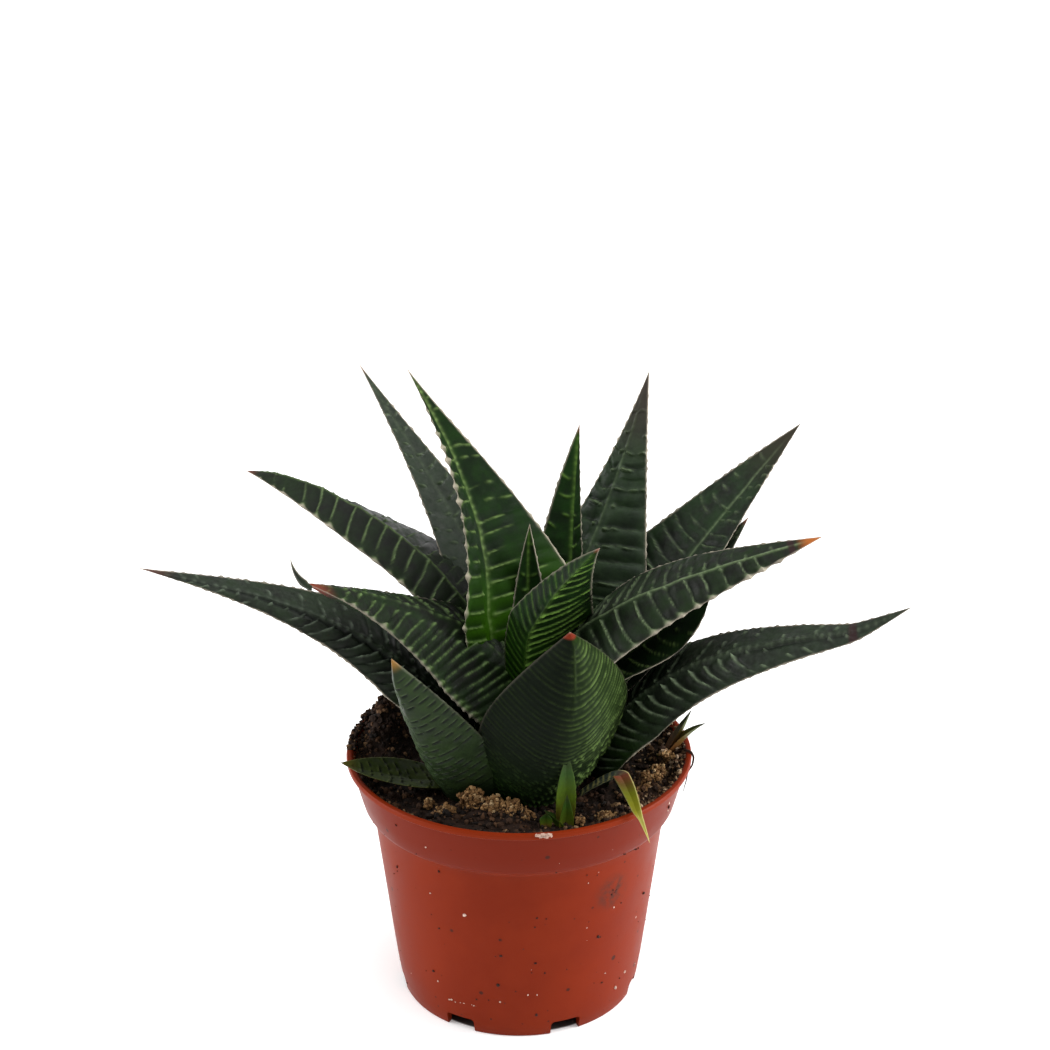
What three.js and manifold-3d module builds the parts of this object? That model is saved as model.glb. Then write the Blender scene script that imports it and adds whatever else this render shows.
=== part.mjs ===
// A ridged rosette succulent in a round plastic nursery pot, in millimetres, with +Z up.
// The pot is turned, the leaves are swept along curved centrelines, and both carry their
// real relief: the leaves have washboard ridges across both faces and teeth on their edges.

import * as THREE from "three";
import { mergeVertices } from "three/addons/utils/BufferGeometryUtils.js";
import Module from "manifold-3d";

// Driving dimensions of the pot
const RIM_RADIUS = 42.5;
const POT_HEIGHT = 64.3;
const LIP_HEIGHT = 2.6;
const LIP_OVERHANG = 1.4;
const LEDGE_HEIGHT = 50.6;
const LEDGE_RADIUS = 38.2;
const LEDGE_STEP = 1.9;
const FOOT_RADIUS = 29.5;
const FLOOR_UNDERSIDE = 4.4;
const WALL = 1.1;
const NOTCH_COUNT = 7;
const NOTCH_HEIGHT = 3.8;
const NOTCH_WIDTH = 7.6;
const FIRST_NOTCH_DEGREES = -67.5;
const DRAIN_HOLE_RADIUS = 3.2;
const DRAIN_HOLE_CIRCLE = 17;
const POT_SIDES = 36;

// Driving dimensions of the filling and the plant
const GAP = 0.3;
const LEAF_CLEARANCE = 0.5;
const SOIL_LEVEL = 60.6;
const SOIL_RADIUS = 39.2;
const STEM_CENTRE = [4, 0];
const STEM_RADIUS = 9;
const STEM_FOOT = 52;
const STEM_TOP = 88;
const RIDGE_PITCH = 4.8;
const RIDGED_SHARE = 0.72;
const SMOOTH_RINGS = 4;
const RIDGE_HEIGHT = 0.75;
const TOOTH_LENGTH = 0.7;
const LEAF_THICKNESS = 0.28;
const LEAF_CORE = 1.2;
const BACK_SHOULDER = 0.5;
const LEAF_BASE_WIDTH = 0.6;
const LEAF_SINK = 2;
const RIDGE_SWEEP = 0.28;

// Every leaf leaves the stem at its base point. Heading and rise are degrees at the base,
// the middle and the tip. The other numbers are shares of the half width: fold is the
// height of the edges, crest that of the upper face's middle line, and keel and backKeel
// how far to one side the middle lines of the upper face and of the back run.
const LEAVES = [
  {
    name: "leaf_core_back", base: [3, 3, 84], heading: [110, 110, 110], rise: [77, 88, 100],
    roll: [0, -5], length: 39, halfWidth: 5.2, widest: 0.3, taper: 0.2, fold: 0.3,
  },
  {
    name: "leaf_core_front", base: [5, -3, 82.5], heading: [-47, -49, -49], rise: [84, 65, 45],
    roll: [-16, -38], length: 49.5, halfWidth: 10.5, widest: 0.43, taper: -0.15, fold: 0.2,
    backKeel: 0.75, thickness: 0.4, core: 1.6, shoulder: 0.62, strongBend: true,
  },
  {
    name: "leaf_back_slim", base: [8, 6, 79], heading: [82, 78, 71], rise: [69, 63, 54],
    roll: [0, 0], length: 65, halfWidth: 7.2, widest: 0.28, taper: 0.3, fold: 0.2, keel: 0.5,
    crest: 0.1,
  },
  {
    name: "leaf_back_left_inner", base: [-1.5, 5.5, 85], heading: [134, 139, 124],
    rise: [100, 45, 31], roll: [-6, 3], length: 82.5, halfWidth: 18, widest: 0.2,
    taper: -0.67, fold: 0.2, keel: -0.5, crest: 0.08,
  },
  {
    name: "leaf_back_right", base: [10, 8, 75], heading: [57, 60, 63], rise: [51, 58, 64],
    roll: [5, 2], length: 84.5, halfWidth: 14.8, widest: 0.34, taper: -0.3, fold: 0.15,
    keel: -0.3, crest: 0.2,
  },
  {
    name: "leaf_right_upper", base: [12, 4, 76], heading: [30, 30, 31], rise: [45, 42, 37],
    roll: [8, 9], length: 90, halfWidth: 15.7, widest: 0.35, taper: 0.05, fold: 0.17,
    keel: 0.3, crest: 0.15,
  },
  {
    name: "leaf_right", base: [6.5, -1, 85.5], heading: [-17, -10, 5], rise: [60, 17, 16],
    roll: [6, 26], length: 78.5, halfWidth: 16.2, widest: 0.3, taper: -0.1, fold: -0.2,
    keel: 0.2, crest: 0.15,
  },
  {
    name: "leaf_left_upper", base: [-1.3, 5.3, 86.5], heading: [151, 156.5, 150.5],
    rise: [68, 13, -6], roll: [-9, 29], length: 90, halfWidth: 14.2, widest: 0.53,
    taper: 0.8, fold: -0.41, keel: -0.55, crest: 0.05, thickness: 0.12, core: 1,
  },
  {
    name: "leaf_back_left_outer", base: [1.5, 9.5, 77], heading: [132, 136, 134],
    rise: [62, 42, 42], roll: [0, 0], length: 92.5, halfWidth: 12.4, widest: 0.3,
    taper: -0.4, fold: 0.2, crest: 0.1,
  },
  {
    name: "leaf_right_short", base: [11, -3, 78], heading: [-6, 3, 11], rise: [43, 39, 37],
    roll: [-14, 19], length: 45.5, halfWidth: 14, widest: 0.55, taper: 1.15, fold: 0.1,
    thickness: 0.16, core: 1,
  },
  {
    name: "leaf_left", base: [1.5, -6, 77], heading: [189, 198, 208], rise: [44, 42, 29],
    roll: [-42, -2], length: 69, halfWidth: 14.8, widest: 0.4, taper: 0.1, fold: 0.16,
    keel: 0.5, crest: 0.3, thickness: 0.14, core: 0.9,
  },
  {
    name: "leaf_right_hidden", base: [13, 3, 72], heading: [19, 20, 22], rise: [40, 44, 51],
    roll: [0, 6], length: 65.5, halfWidth: 11.4, widest: 0.3, taper: 0.4, fold: 0.1,
  },
  {
    name: "leaf_front", base: [3, -11, 60.5], heading: [-63, -65, -65], rise: [44, 67, 93],
    roll: [-7, 1], length: 55, halfWidth: 18.8, widest: 0.5, taper: 1, fold: 0.23,
    backKeel: 0.12, thickness: 0.4, core: 1.6, shoulder: 0.75, pitch: 2.6, foot: 0.85,
  },
  {
    name: "leaf_right_low", base: [19, -6, 63], heading: [-18, -22, -11], rise: [77, 7, 15],
    roll: [27, 19], length: 95, halfWidth: 13.2, widest: 0.27, taper: 0.1, fold: -0.2,
    keel: 0.1, crest: 0.12, foot: 0.6, kinks: [{ at: 0.84, heading: 5, rise: 14 }],
  },
  {
    name: "leaf_left_low", base: [-10, -3, 67], heading: [185, 190, 185], rise: [69, 16, 14],
    roll: [-32, -16], length: 99, halfWidth: 12.5, widest: 0.32, taper: -0.23, fold: -0.15,
    keel: -0.4, crest: 0.28,
  },
  {
    name: "leaf_left_narrow", base: [-8, 1, 73], heading: [182, 178, 176], rise: [44, 24, 20],
    roll: [0, 0], length: 60, halfWidth: 5, widest: 0.3, taper: -0.2, fold: 0.15,
    thickness: 0.18, core: 0.8, kinks: [{ at: 0.84, heading: 0, rise: 55 }],
  },
  {
    name: "leaf_back_low", base: [3, 5.5, 62], heading: [99, 99, 99], rise: [76, 14, 0],
    roll: [0, 0], length: 61, halfWidth: 12, widest: 0.32, taper: 0, fold: 0.15,
    foot: 0.8, strongBend: true,
  },
  {
    name: "leaf_back_right_low", base: [9, 4, 62], heading: [50, 50, 50], rise: [74, 6, 4],
    roll: [0, 0], length: 71, halfWidth: 12.5, widest: 0.32, taper: 0, fold: 0.15,
    foot: 0.8,
  },
  {
    name: "leaf_back_left_low", base: [-1.5, 3.5, 62], heading: [146, 146, 146],
    rise: [74, 2, 0], roll: [0, 0], length: 63, halfWidth: 12, widest: 0.32, taper: 0,
    fold: 0.15, keel: 0, foot: 0.8,
  },
  {
    name: "leaf_front_left", base: [-10, -12, 57], heading: [234, 233, 236],
    rise: [59, 55, 59], roll: [1, 1], length: 60, halfWidth: 12.8, widest: 0.29, taper: 0.5,
    fold: 0.29, thickness: 0.4, core: 1.6, shoulder: 0.66, pitch: 3.6, foot: 0.85,
  },
  {
    name: "leaf_soil_left", base: [-14, -12, 61], heading: [196, 194, 191],
    rise: [13, 17, 24], roll: [11, -11], length: 31, halfWidth: 7.9, widest: 0.37,
    taper: 0.7, fold: 0.18, thickness: 0.18, core: 0.8, sink: 1,
  },
];

const WITHERED_LEAF = {
  name: "withered_leaf", base: [14.4, -17.4, 60.6], heading: [-5, -5, -5], rise: [44, 10, 0],
  roll: [0, 0], length: 35.5, halfWidth: 2.1, widest: 0.3, taper: 0.9, fold: 0.2,
  kinks: [{ at: 0.325, heading: -72, rise: -20 }, { at: 0.787, heading: 42, rise: -46 }],
  sink: 0, thickness: 0.1, core: 0.7, ridge: 0, tooth: 0.2, rings: 20,
};

// Young plants at the edge of the soil, each a tuft of small leaves grown from one foot
const YOUNG_PLANTS = [
  {
    name: "young_plant_front",
    leaves: [
      {
        base: [10.7, -29.6, 57.5], heading: [100, 100, 100], rise: [98, 99, 97], length: 23.3,
        halfWidth: 2.4, widest: 0.45, taper: 0.9,
      },
      {
        base: [11, -31.4, 57.5], heading: [100, 100, 100], rise: [98, 98, 98],
        length: 12.5, halfWidth: 1.8, widest: 0.35, taper: 0.7,
      },
      {
        base: [11.6, -30.6, 57.5], heading: [200, 195, 180], rise: [70, 45, 40], length: 9.5,
        halfWidth: 2, widest: 0.4, taper: 0.6,
      },
    ],
  },
  {
    name: "young_plant_right",
    leaves: [
      {
        base: [35.6, 3.6, 57.5], heading: [0, 0, 10], rise: [74, 60, 62], length: 17,
        halfWidth: 2.1, widest: 0.35, taper: 0.5,
      },
      {
        base: [35.7, 2.6, 57.5], heading: [-5, -8, -10], rise: [78, 50, 26], length: 17.5,
        halfWidth: 2.2, widest: 0.35, taper: 0.4,
      },
    ],
  },
];

// Heaps and crusty lumps that stand up from the level soil: place, height and spread
const SOIL_HEAPS = [
  { at: [-34, 11], height: 12, spread: 7.5 },
  { at: [-22, 26], height: 5, spread: 6 },
  { at: [-17, -28], height: 2, spread: 3 },
  { at: [-8.5, -27.5], height: 3.2, spread: 4 },
  { at: [-1.5, -28.5], height: 3, spread: 3.8 },
  { at: [31.6, -14], height: 3.6, spread: 3.6 },
  { at: [35.5, -1], height: 3.4, spread: 3.4 },
  { at: [23, -25], height: 1.8, spread: 2.8 },
];

const COLOURS = {
  pot: 0xa33a22,
  soil: 0x2c1f18,
  stem: 0x5c6a35,
  leaf: 0x24402a,
  youngPlant: 0x76802c,
  withered: 0x8f9440,
};

const wasm = await Module();
wasm.setup();

function material(color, roughness, metalness = 0) {
  return new THREE.MeshStandardMaterial({ color, roughness, metalness });
}

// Turns a closed three.js geometry into a solid with its faces pointing out.
function solidOf(geometry) {
  const plain = geometry.clone();
  plain.deleteAttribute("normal");
  plain.deleteAttribute("uv");
  const merged = mergeVertices(plain, 1e-4);
  const triangles = Uint32Array.from(merged.index.array);
  const mesh = new wasm.Mesh({
    numProp: 3,
    vertProperties: Float32Array.from(merged.attributes.position.array),
    triVerts: triangles,
  });
  const solid = new wasm.Manifold(mesh);
  if (solid.volume() >= 0) {
    return solid;
  }
  for (let i = 0; i < triangles.length; i += 3) {
    [triangles[i + 1], triangles[i + 2]] = [triangles[i + 2], triangles[i + 1]];
  }
  return new wasm.Manifold(mesh);
}

function geometryOf(solid) {
  const mesh = solid.getMesh();
  const geometry = new THREE.BufferGeometry();
  const stride = mesh.numProp;
  const count = mesh.vertProperties.length / stride;
  const positions = new Float32Array(count * 3);
  for (let i = 0; i < count; i += 1) {
    for (let axis = 0; axis < 3; axis += 1) {
      positions[i * 3 + axis] = mesh.vertProperties[i * stride + axis];
    }
  }
  geometry.setAttribute("position", new THREE.BufferAttribute(positions, 3));
  geometry.setIndex(new THREE.BufferAttribute(Uint32Array.from(mesh.triVerts), 1));
  geometry.computeVertexNormals();
  return geometry;
}

function largestPiece(solid) {
  const pieces = solid.decompose();
  return pieces.reduce((best, piece) => (piece.volume() > best.volume() ? piece : best));
}

function boxesMeet(a, b) {
  return [0, 1, 2].every((axis) => a.min[axis] < b.max[axis] && b.min[axis] < a.max[axis]);
}

// Cuts away what the solids already in place need, and keeps the main body of what is left.
function cutClear(solid, cutters) {
  const box = solid.boundingBox();
  const near = cutters.filter((cutter) => boxesMeet(box, cutter.boundingBox()));
  const cut = near.reduce((rest, cutter) => rest.subtract(cutter), solid);
  return near.length > 0 ? largestPiece(cut) : solid;
}

function degreesAt(values, u) {
  const back = 1 - u;
  return back * back * values[0] + 2 * u * back * values[1] + u * u * values[2];
}

function smoothStep(t) {
  const s = Math.min(Math.max(t, 0), 1);
  return s * s * (3 - 2 * s);
}

// The centreline's direction, the upper face's normal and the sideways direction at u.
function leafFrame(leaf, u) {
  const turns = [degreesAt(leaf.heading, u), degreesAt(leaf.rise, u)];
  for (const kink of leaf.kinks ?? []) {
    const bend = smoothStep((u - kink.at) / 0.08 + 0.5);
    turns[0] += kink.heading * bend;
    turns[1] += kink.rise * bend;
  }
  const [heading, rise] = turns.map(THREE.MathUtils.degToRad);
  const roll = THREE.MathUtils.degToRad(leaf.roll[0] * (1 - u) + leaf.roll[1] * u);
  const flat = new THREE.Vector3(Math.cos(heading), Math.sin(heading), 0);
  const along = flat.clone().multiplyScalar(Math.cos(rise)).setZ(Math.sin(rise));
  const level = flat.clone().multiplyScalar(-Math.sin(rise)).setZ(Math.cos(rise));
  const beside = along.clone().cross(level);
  const up = level.clone().multiplyScalar(Math.cos(roll));
  up.addScaledVector(beside, Math.sin(roll));
  const side = beside.clone().multiplyScalar(Math.cos(roll));
  side.addScaledVector(level, -Math.sin(roll));
  return { along, up, side };
}

function halfWidthAt(leaf, u) {
  if (u < leaf.widest) {
    const swell = Math.sin((Math.max(u, 0) / leaf.widest) * Math.PI / 2);
    const foot = leaf.foot ?? LEAF_BASE_WIDTH;
    return leaf.halfWidth * (foot + (1 - foot) * swell);
  }
  const t = (u - leaf.widest) / (1 - leaf.widest);
  return leaf.halfWidth * (1 - t) * (1 + leaf.taper * t);
}

// How far along the leaf ring number i of count lies: close together where the leaf is
// ridged, and further apart on its smooth outer part.
function ringPlace(i, count) {
  const ridged = count - Math.min(SMOOTH_RINGS, count / 2);
  if (i <= ridged) {
    return (RIDGED_SHARE * i) / ridged;
  }
  return RIDGED_SHARE + ((1 - RIDGED_SHARE) * (i - ridged)) / (count - ridged);
}

// Points and frames along the leaf, from the sunk root to the tip.
function leafStations(leaf, count) {
  const stations = [];
  const steps = 96;
  const point = new THREE.Vector3(...leaf.base);
  const line = [point.clone()];
  for (let i = 0; i < steps; i += 1) {
    const middle = leafFrame(leaf, (i + 0.5) / steps);
    point.addScaledVector(middle.along, leaf.length / steps);
    line.push(point.clone());
  }
  for (let i = 0; i <= count; i += 1) {
    const u = ringPlace(i, count);
    const place = u * steps;
    const low = Math.min(Math.floor(place), steps - 1);
    const centre = line[low].clone().lerp(line[low + 1], place - low);
    stations.push({ index: i, u, centre, ...leafFrame(leaf, u) });
  }
  return stations;
}

// One leaf's closed skin. Each ring has eight corners: two edges, the middle and two
// shoulders of the upper face, and the keel and two shoulders of the back. The rings lie
// on the ridge crests and in the furrows by turns, one side half a step behind the other.
// A swollen leaf follows the crests alone, unless it bends strongly and needs every ring.
function leafGeometry(leaf, swell) {
  const pitch = leaf.pitch ?? RIDGE_PITCH;
  const ridges = Math.max(2, Math.round((RIDGED_SHARE * leaf.length) / pitch));
  const perRidge = swell > 0 && !leaf.strongBend ? 1 : 2;
  const count = leaf.rings ?? SMOOTH_RINGS + perRidge * ridges;
  const stations = leafStations(leaf, count);
  const ridge = leaf.ridge ?? RIDGE_HEIGHT;
  const tooth = leaf.tooth ?? TOOTH_LENGTH;
  const positions = [];
  const root = leafFrame(leaf, 0);
  for (const station of stations.slice(0, -1)) {
    const { index } = station;
    const width = halfWidthAt(leaf, station.u);
    const small = Math.min(1, width / 5) * (station.u < 0.85 ? 1 : 0.5);
    const thick = (leaf.core ?? LEAF_CORE) * Math.min(1, width / 3)
      + (leaf.thickness ?? LEAF_THICKNESS) * width;
    const centre = station.centre.clone();
    if (index === 0) {
      centre.addScaledVector(root.along, -(leaf.sink ?? LEAF_SINK));
    }
    const corner = (across, height, shift) => {
      const place = centre.clone().addScaledVector(station.side, across);
      place.addScaledVector(station.up, height);
      place.addScaledVector(station.along, shift);
      positions.push(place.x, place.y, place.z);
    };
    for (const face of ["upper", "back"]) {
      const turns = face === "upper" ? [1, 0.5, 0, -0.5] : [-1, -0.5, 0, 0.5];
      for (const turn of turns) {
        const isCrest = (index + (turn < 0 ? 1 : 0)) % 2 === 0 && index > 0;
        const crest = swell > 0 ? 1 : Number(isCrest);
        const sweep = index === 0 ? 0 : RIDGE_SWEEP * width * Math.abs(turn);
        const keel = (face === "upper" ? leaf.keel : leaf.backKeel) ?? 0;
        const across = (turn + keel * (1 - Math.abs(turn))) * width;
        const edge = leaf.fold * width * Math.abs(turn);
        if (Math.abs(turn) === 1) {
          const reach = crest * tooth * small + swell;
          corner(across + Math.sign(turn) * reach, edge, sweep);
        } else if (face === "upper") {
          const middle = (leaf.crest ?? 0) * width * (1 - Math.abs(turn));
          const rounding = turn === 0 ? 0 : 0.04 * width;
          const lift = turn === 0 ? 0 : crest * ridge * small;
          corner(across, edge + middle + rounding + lift + swell, sweep);
        } else {
          const depth = thick * (turn === 0 ? 1 : leaf.shoulder ?? BACK_SHOULDER);
          const lift = turn === 0 ? 0.3 * crest * ridge : crest * ridge * small;
          corner(across, edge - depth - lift - swell, sweep);
        }
      }
    }
  }
  const last = stations.at(-1);
  const tip = last.centre.clone().addScaledVector(last.along, swell);
  const foot = stations[0].centre.clone();
  foot.addScaledVector(root.along, -(leaf.sink ?? LEAF_SINK) - swell);
  foot.addScaledVector(root.up, -0.3 * leaf.halfWidth * (leaf.thickness ?? LEAF_THICKNESS));
  positions.push(tip.x, tip.y, tip.z, foot.x, foot.y, foot.z);
  return skinOfRings(positions, count, 8);
}

// Joins rings of corners into a closed skin, with a fan at the tip and one at the foot.
function skinOfRings(positions, rings, corners) {
  const indices = [];
  const tip = rings * corners;
  const foot = tip + 1;
  for (let i = 0; i < corners; i += 1) {
    const next = (i + 1) % corners;
    for (let ring = 0; ring < rings - 1; ring += 1) {
      const a = ring * corners + i;
      const b = ring * corners + next;
      indices.push(a, b, b + corners, a, b + corners, a + corners);
    }
    indices.push((rings - 1) * corners + i, (rings - 1) * corners + next, tip);
    indices.push(next, i, foot);
  }
  const geometry = new THREE.BufferGeometry();
  geometry.setAttribute("position", new THREE.Float32BufferAttribute(positions, 3));
  geometry.setIndex(indices);
  return geometry;
}

function potProfile() {
  const lipBottom = POT_HEIGHT - LIP_HEIGHT;
  const wallTop = LEDGE_RADIUS - LEDGE_STEP;
  const outer = [
    [0, FLOOR_UNDERSIDE],
    [FOOT_RADIUS - 2.4, FLOOR_UNDERSIDE],
    [FOOT_RADIUS - 1.5, 0],
    [FOOT_RADIUS, 0],
    [FOOT_RADIUS + 0.7, 3.5],
    [FOOT_RADIUS + 1.5, 9],
    [wallTop, LEDGE_HEIGHT - 0.4],
    [LEDGE_RADIUS, LEDGE_HEIGHT],
    [RIM_RADIUS - LIP_OVERHANG, lipBottom],
    [RIM_RADIUS, lipBottom + 0.6],
    [RIM_RADIUS, POT_HEIGHT - 0.6],
    [RIM_RADIUS - 0.9, POT_HEIGHT],
  ];
  const inner = [
    [RIM_RADIUS - 1.9, POT_HEIGHT - 0.6],
    [RIM_RADIUS - LIP_OVERHANG - WALL, lipBottom],
    [LEDGE_RADIUS - WALL, LEDGE_HEIGHT + 0.3],
    [wallTop - WALL, LEDGE_HEIGHT - 0.8],
    [FOOT_RADIUS + 1.5 - WALL, 9],
    [FOOT_RADIUS - 1.4, FLOOR_UNDERSIDE + 1.6],
    [FOOT_RADIUS - 3, FLOOR_UNDERSIDE + 1.2],
    [0, FLOOR_UNDERSIDE + 1.2],
  ];
  return { outer, inner };
}

function turned(points, sides) {
  const outline = points.map(([radius, height]) => new THREE.Vector2(radius, height));
  return new THREE.LatheGeometry(outline, sides).rotateX(Math.PI / 2);
}

function potSolid() {
  const { outer, inner } = potProfile();
  let pot = solidOf(turned([...outer, ...inner], POT_SIDES));
  for (let i = 0; i < NOTCH_COUNT; i += 1) {
    const turn = THREE.MathUtils.degToRad(FIRST_NOTCH_DEGREES + (360 / NOTCH_COUNT) * i);
    const notch = new THREE.BoxGeometry(8, NOTCH_WIDTH, NOTCH_HEIGHT + 1);
    notch.translate(FOOT_RADIUS, 0, NOTCH_HEIGHT / 2 - 0.5).rotateZ(turn);
    pot = pot.subtract(solidOf(notch));
    const drain = new THREE.CylinderGeometry(DRAIN_HOLE_RADIUS, DRAIN_HOLE_RADIUS, 6, 12);
    drain.rotateX(Math.PI / 2).translate(DRAIN_HOLE_CIRCLE, 0, FLOOR_UNDERSIDE);
    drain.rotateZ(turn);
    pot = pot.subtract(solidOf(drain));
  }
  return pot;
}

// A repeatable uneven number between -1 and 1 for the crumbs of the soil.
function crumb(i, j) {
  const wave = Math.sin(i * 127.1 + j * 311.7) * 43758.5453;
  return 2 * (wave - Math.floor(wave)) - 1;
}

function soilHeight(x, y, ring, spoke) {
  const radius = Math.hypot(x, y);
  const edge = Math.min(1, (SOIL_RADIUS - radius) / 3 + 0.1);
  let height = SOIL_LEVEL;
  for (const heap of SOIL_HEAPS) {
    const away = Math.hypot(x - heap.at[0], y - heap.at[1]);
    height += heap.height * Math.exp(-((away / heap.spread) ** 2)) * Math.max(edge, 0.5);
  }
  return height + 0.55 * crumb(ring, spoke);
}

// The filling takes the pot's inner shape, a little clear of it, with a crumbly top.
function soilGeometry() {
  const rings = 9;
  const spokes = 32;
  const inside = potProfile().inner;
  const floor = FLOOR_UNDERSIDE + 1.2 + GAP;
  const wall = [
    [LEDGE_RADIUS - WALL - GAP, LEDGE_HEIGHT + 0.3],
    [inside[3][0] - GAP, inside[3][1]],
    [inside[4][0] - GAP, inside[4][1]],
    [inside[5][0] - GAP - 0.2, floor + 0.4],
  ];
  const positions = [];
  for (let ring = 1; ring <= rings; ring += 1) {
    const radius = (SOIL_RADIUS * ring) / rings;
    for (let spoke = 0; spoke < spokes; spoke += 1) {
      const angle = (2 * Math.PI * (spoke + (ring % 2) / 2)) / spokes;
      const x = radius * Math.cos(angle);
      const y = radius * Math.sin(angle);
      positions.push(x, y, soilHeight(x, y, ring, spoke));
    }
  }
  for (const [radius, height] of wall) {
    for (let spoke = 0; spoke < spokes; spoke += 1) {
      const angle = (2 * Math.PI * (spoke + (rings % 2) / 2)) / spokes;
      positions.push(radius * Math.cos(angle), radius * Math.sin(angle), height);
    }
  }
  positions.push(0, 0, floor, 0, 0, SOIL_LEVEL);
  return skinOfRings(positions, rings + wall.length, spokes);
}

function stemGeometry() {
  const profile = [
    [0, STEM_FOOT],
    [STEM_RADIUS * 0.7, STEM_FOOT],
    [STEM_RADIUS, STEM_FOOT + 6],
    [STEM_RADIUS, STEM_FOOT + 18],
    [STEM_RADIUS * 0.8, STEM_TOP - 8],
    [STEM_RADIUS * 0.45, STEM_TOP - 2],
    [0, STEM_TOP],
  ];
  return turned(profile, 20).translate(...STEM_CENTRE, 0);
}

function swollenStem() {
  const grown = (STEM_RADIUS + GAP) / STEM_RADIUS;
  const middle = (STEM_FOOT + STEM_TOP) / 2;
  const tall = 1 + (2 * GAP) / (STEM_TOP - STEM_FOOT);
  const geometry = stemGeometry().translate(-STEM_CENTRE[0], -STEM_CENTRE[1], -middle);
  return geometry.scale(grown, grown, tall).translate(...STEM_CENTRE, middle);
}

function youngLeaf(leaf) {
  return {
    roll: [0, 0], fold: 0.35, sink: 0, thickness: 0.25, core: 1, shoulder: 0.6, ridge: 0,
    tooth: 0, rings: 5, ...leaf,
  };
}

const group = new THREE.Group();

function place(name, solid, color, roughness) {
  const mesh = new THREE.Mesh(geometryOf(solid), material(color, roughness));
  mesh.name = name;
  group.add(mesh);
}

const cutters = [solidOf(swollenStem())];
const stem = solidOf(stemGeometry());

for (const leaf of LEAVES) {
  const solid = cutClear(solidOf(leafGeometry(leaf, 0)), cutters);
  place(leaf.name, solid, COLOURS.leaf, 0.5);
  cutters.push(solidOf(leafGeometry(leaf, LEAF_CLEARANCE)));
}

for (const plant of YOUNG_PLANTS) {
  const tuft = (swell) => plant.leaves
    .map((leaf) => solidOf(leafGeometry(youngLeaf(leaf), swell)))
    .reduce((whole, part) => whole.add(part));
  place(plant.name, cutClear(tuft(0), cutters), COLOURS.youngPlant, 0.45);
  cutters.push(tuft(LEAF_CLEARANCE));
}

place("withered_leaf", cutClear(solidOf(leafGeometry(WITHERED_LEAF, 0)), cutters),
  COLOURS.withered, 0.6);
cutters.push(solidOf(leafGeometry(WITHERED_LEAF, LEAF_CLEARANCE)));

place("stem", stem, COLOURS.stem, 0.7);
place("soil", cutClear(solidOf(soilGeometry()), cutters), COLOURS.soil, 0.95);
place("pot", potSolid(), COLOURS.pot, 0.45);

// The leaves reach further back than the pot does, so the middle of the whole outline,
// not of the pot, stands over the origin.
const middle = new THREE.Box3().setFromObject(group).getCenter(new THREE.Vector3());
group.position.set(-middle.x, -middle.y, 0);
group.updateMatrixWorld(true);

export default group;
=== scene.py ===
"""A ridged rosette succulent in a terracotta-coloured plastic nursery pot.

Sizes are millimetres and angles are degrees. They are given in the plant's own frame, whose
origin lies on the pot's axis on the surface that the pot stands on, with +Z up and -Y towards
the side that shows best. PlantFrame turns them into the model's metres.
"""

import itertools
import logging
import math
from collections.abc import Sequence
from dataclasses import dataclass, replace
from enum import Enum, IntEnum

import bmesh
import bpy
import numpy as np
from mathutils import Matrix, Vector


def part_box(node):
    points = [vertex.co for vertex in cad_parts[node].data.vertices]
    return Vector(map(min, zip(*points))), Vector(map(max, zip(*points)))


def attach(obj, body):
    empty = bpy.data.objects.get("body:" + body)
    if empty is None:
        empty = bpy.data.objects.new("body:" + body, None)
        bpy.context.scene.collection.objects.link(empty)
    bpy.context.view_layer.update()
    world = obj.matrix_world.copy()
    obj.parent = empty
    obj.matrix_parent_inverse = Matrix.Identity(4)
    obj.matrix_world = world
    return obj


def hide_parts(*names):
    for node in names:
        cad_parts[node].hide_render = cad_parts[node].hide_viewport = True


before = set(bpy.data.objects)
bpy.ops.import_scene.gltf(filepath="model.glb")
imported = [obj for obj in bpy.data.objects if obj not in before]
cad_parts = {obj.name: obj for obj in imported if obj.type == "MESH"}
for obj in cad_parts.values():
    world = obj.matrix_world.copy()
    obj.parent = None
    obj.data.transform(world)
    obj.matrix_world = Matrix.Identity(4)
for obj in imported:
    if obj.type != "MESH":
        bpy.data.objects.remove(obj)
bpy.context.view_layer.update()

LOG = logging.getLogger("potted_haworthia")
MM = 0.001
BODY = "root"

Colour = tuple[float, float, float]
Triple = tuple[float, float, float]
Bands = tuple[tuple[float, Colour], ...]

HASH_STEPS = (73856093, 19349663, 83492791)
HASH_MIXERS = (1274126177, 668265263)
HASH_RANGE = 0x100000


# Numbers that every piece uses


def chance(first: np.ndarray, second: np.ndarray | int, seed: int) -> np.ndarray:
    """A repeatable random share for each pair of whole numbers.

    Args:
        first: Whole numbers, such as a ridge's place in its row.
        second: Whole numbers of the same shape, or one number.
        seed: Which draw this is.

    Returns:
        Values from 0 up to 1.
    """
    mixed = np.asarray(first, np.int64) * HASH_STEPS[0] + np.asarray(second, np.int64) * HASH_STEPS[1]
    mixed = mixed + np.int64(seed) * HASH_STEPS[2] + 12345
    mixed = (mixed ^ (mixed >> 13)) * HASH_MIXERS[0]
    mixed = (mixed ^ (mixed >> 16)) * HASH_MIXERS[1]
    return ((mixed ^ (mixed >> 15)) & (HASH_RANGE - 1)) / float(HASH_RANGE)


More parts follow.
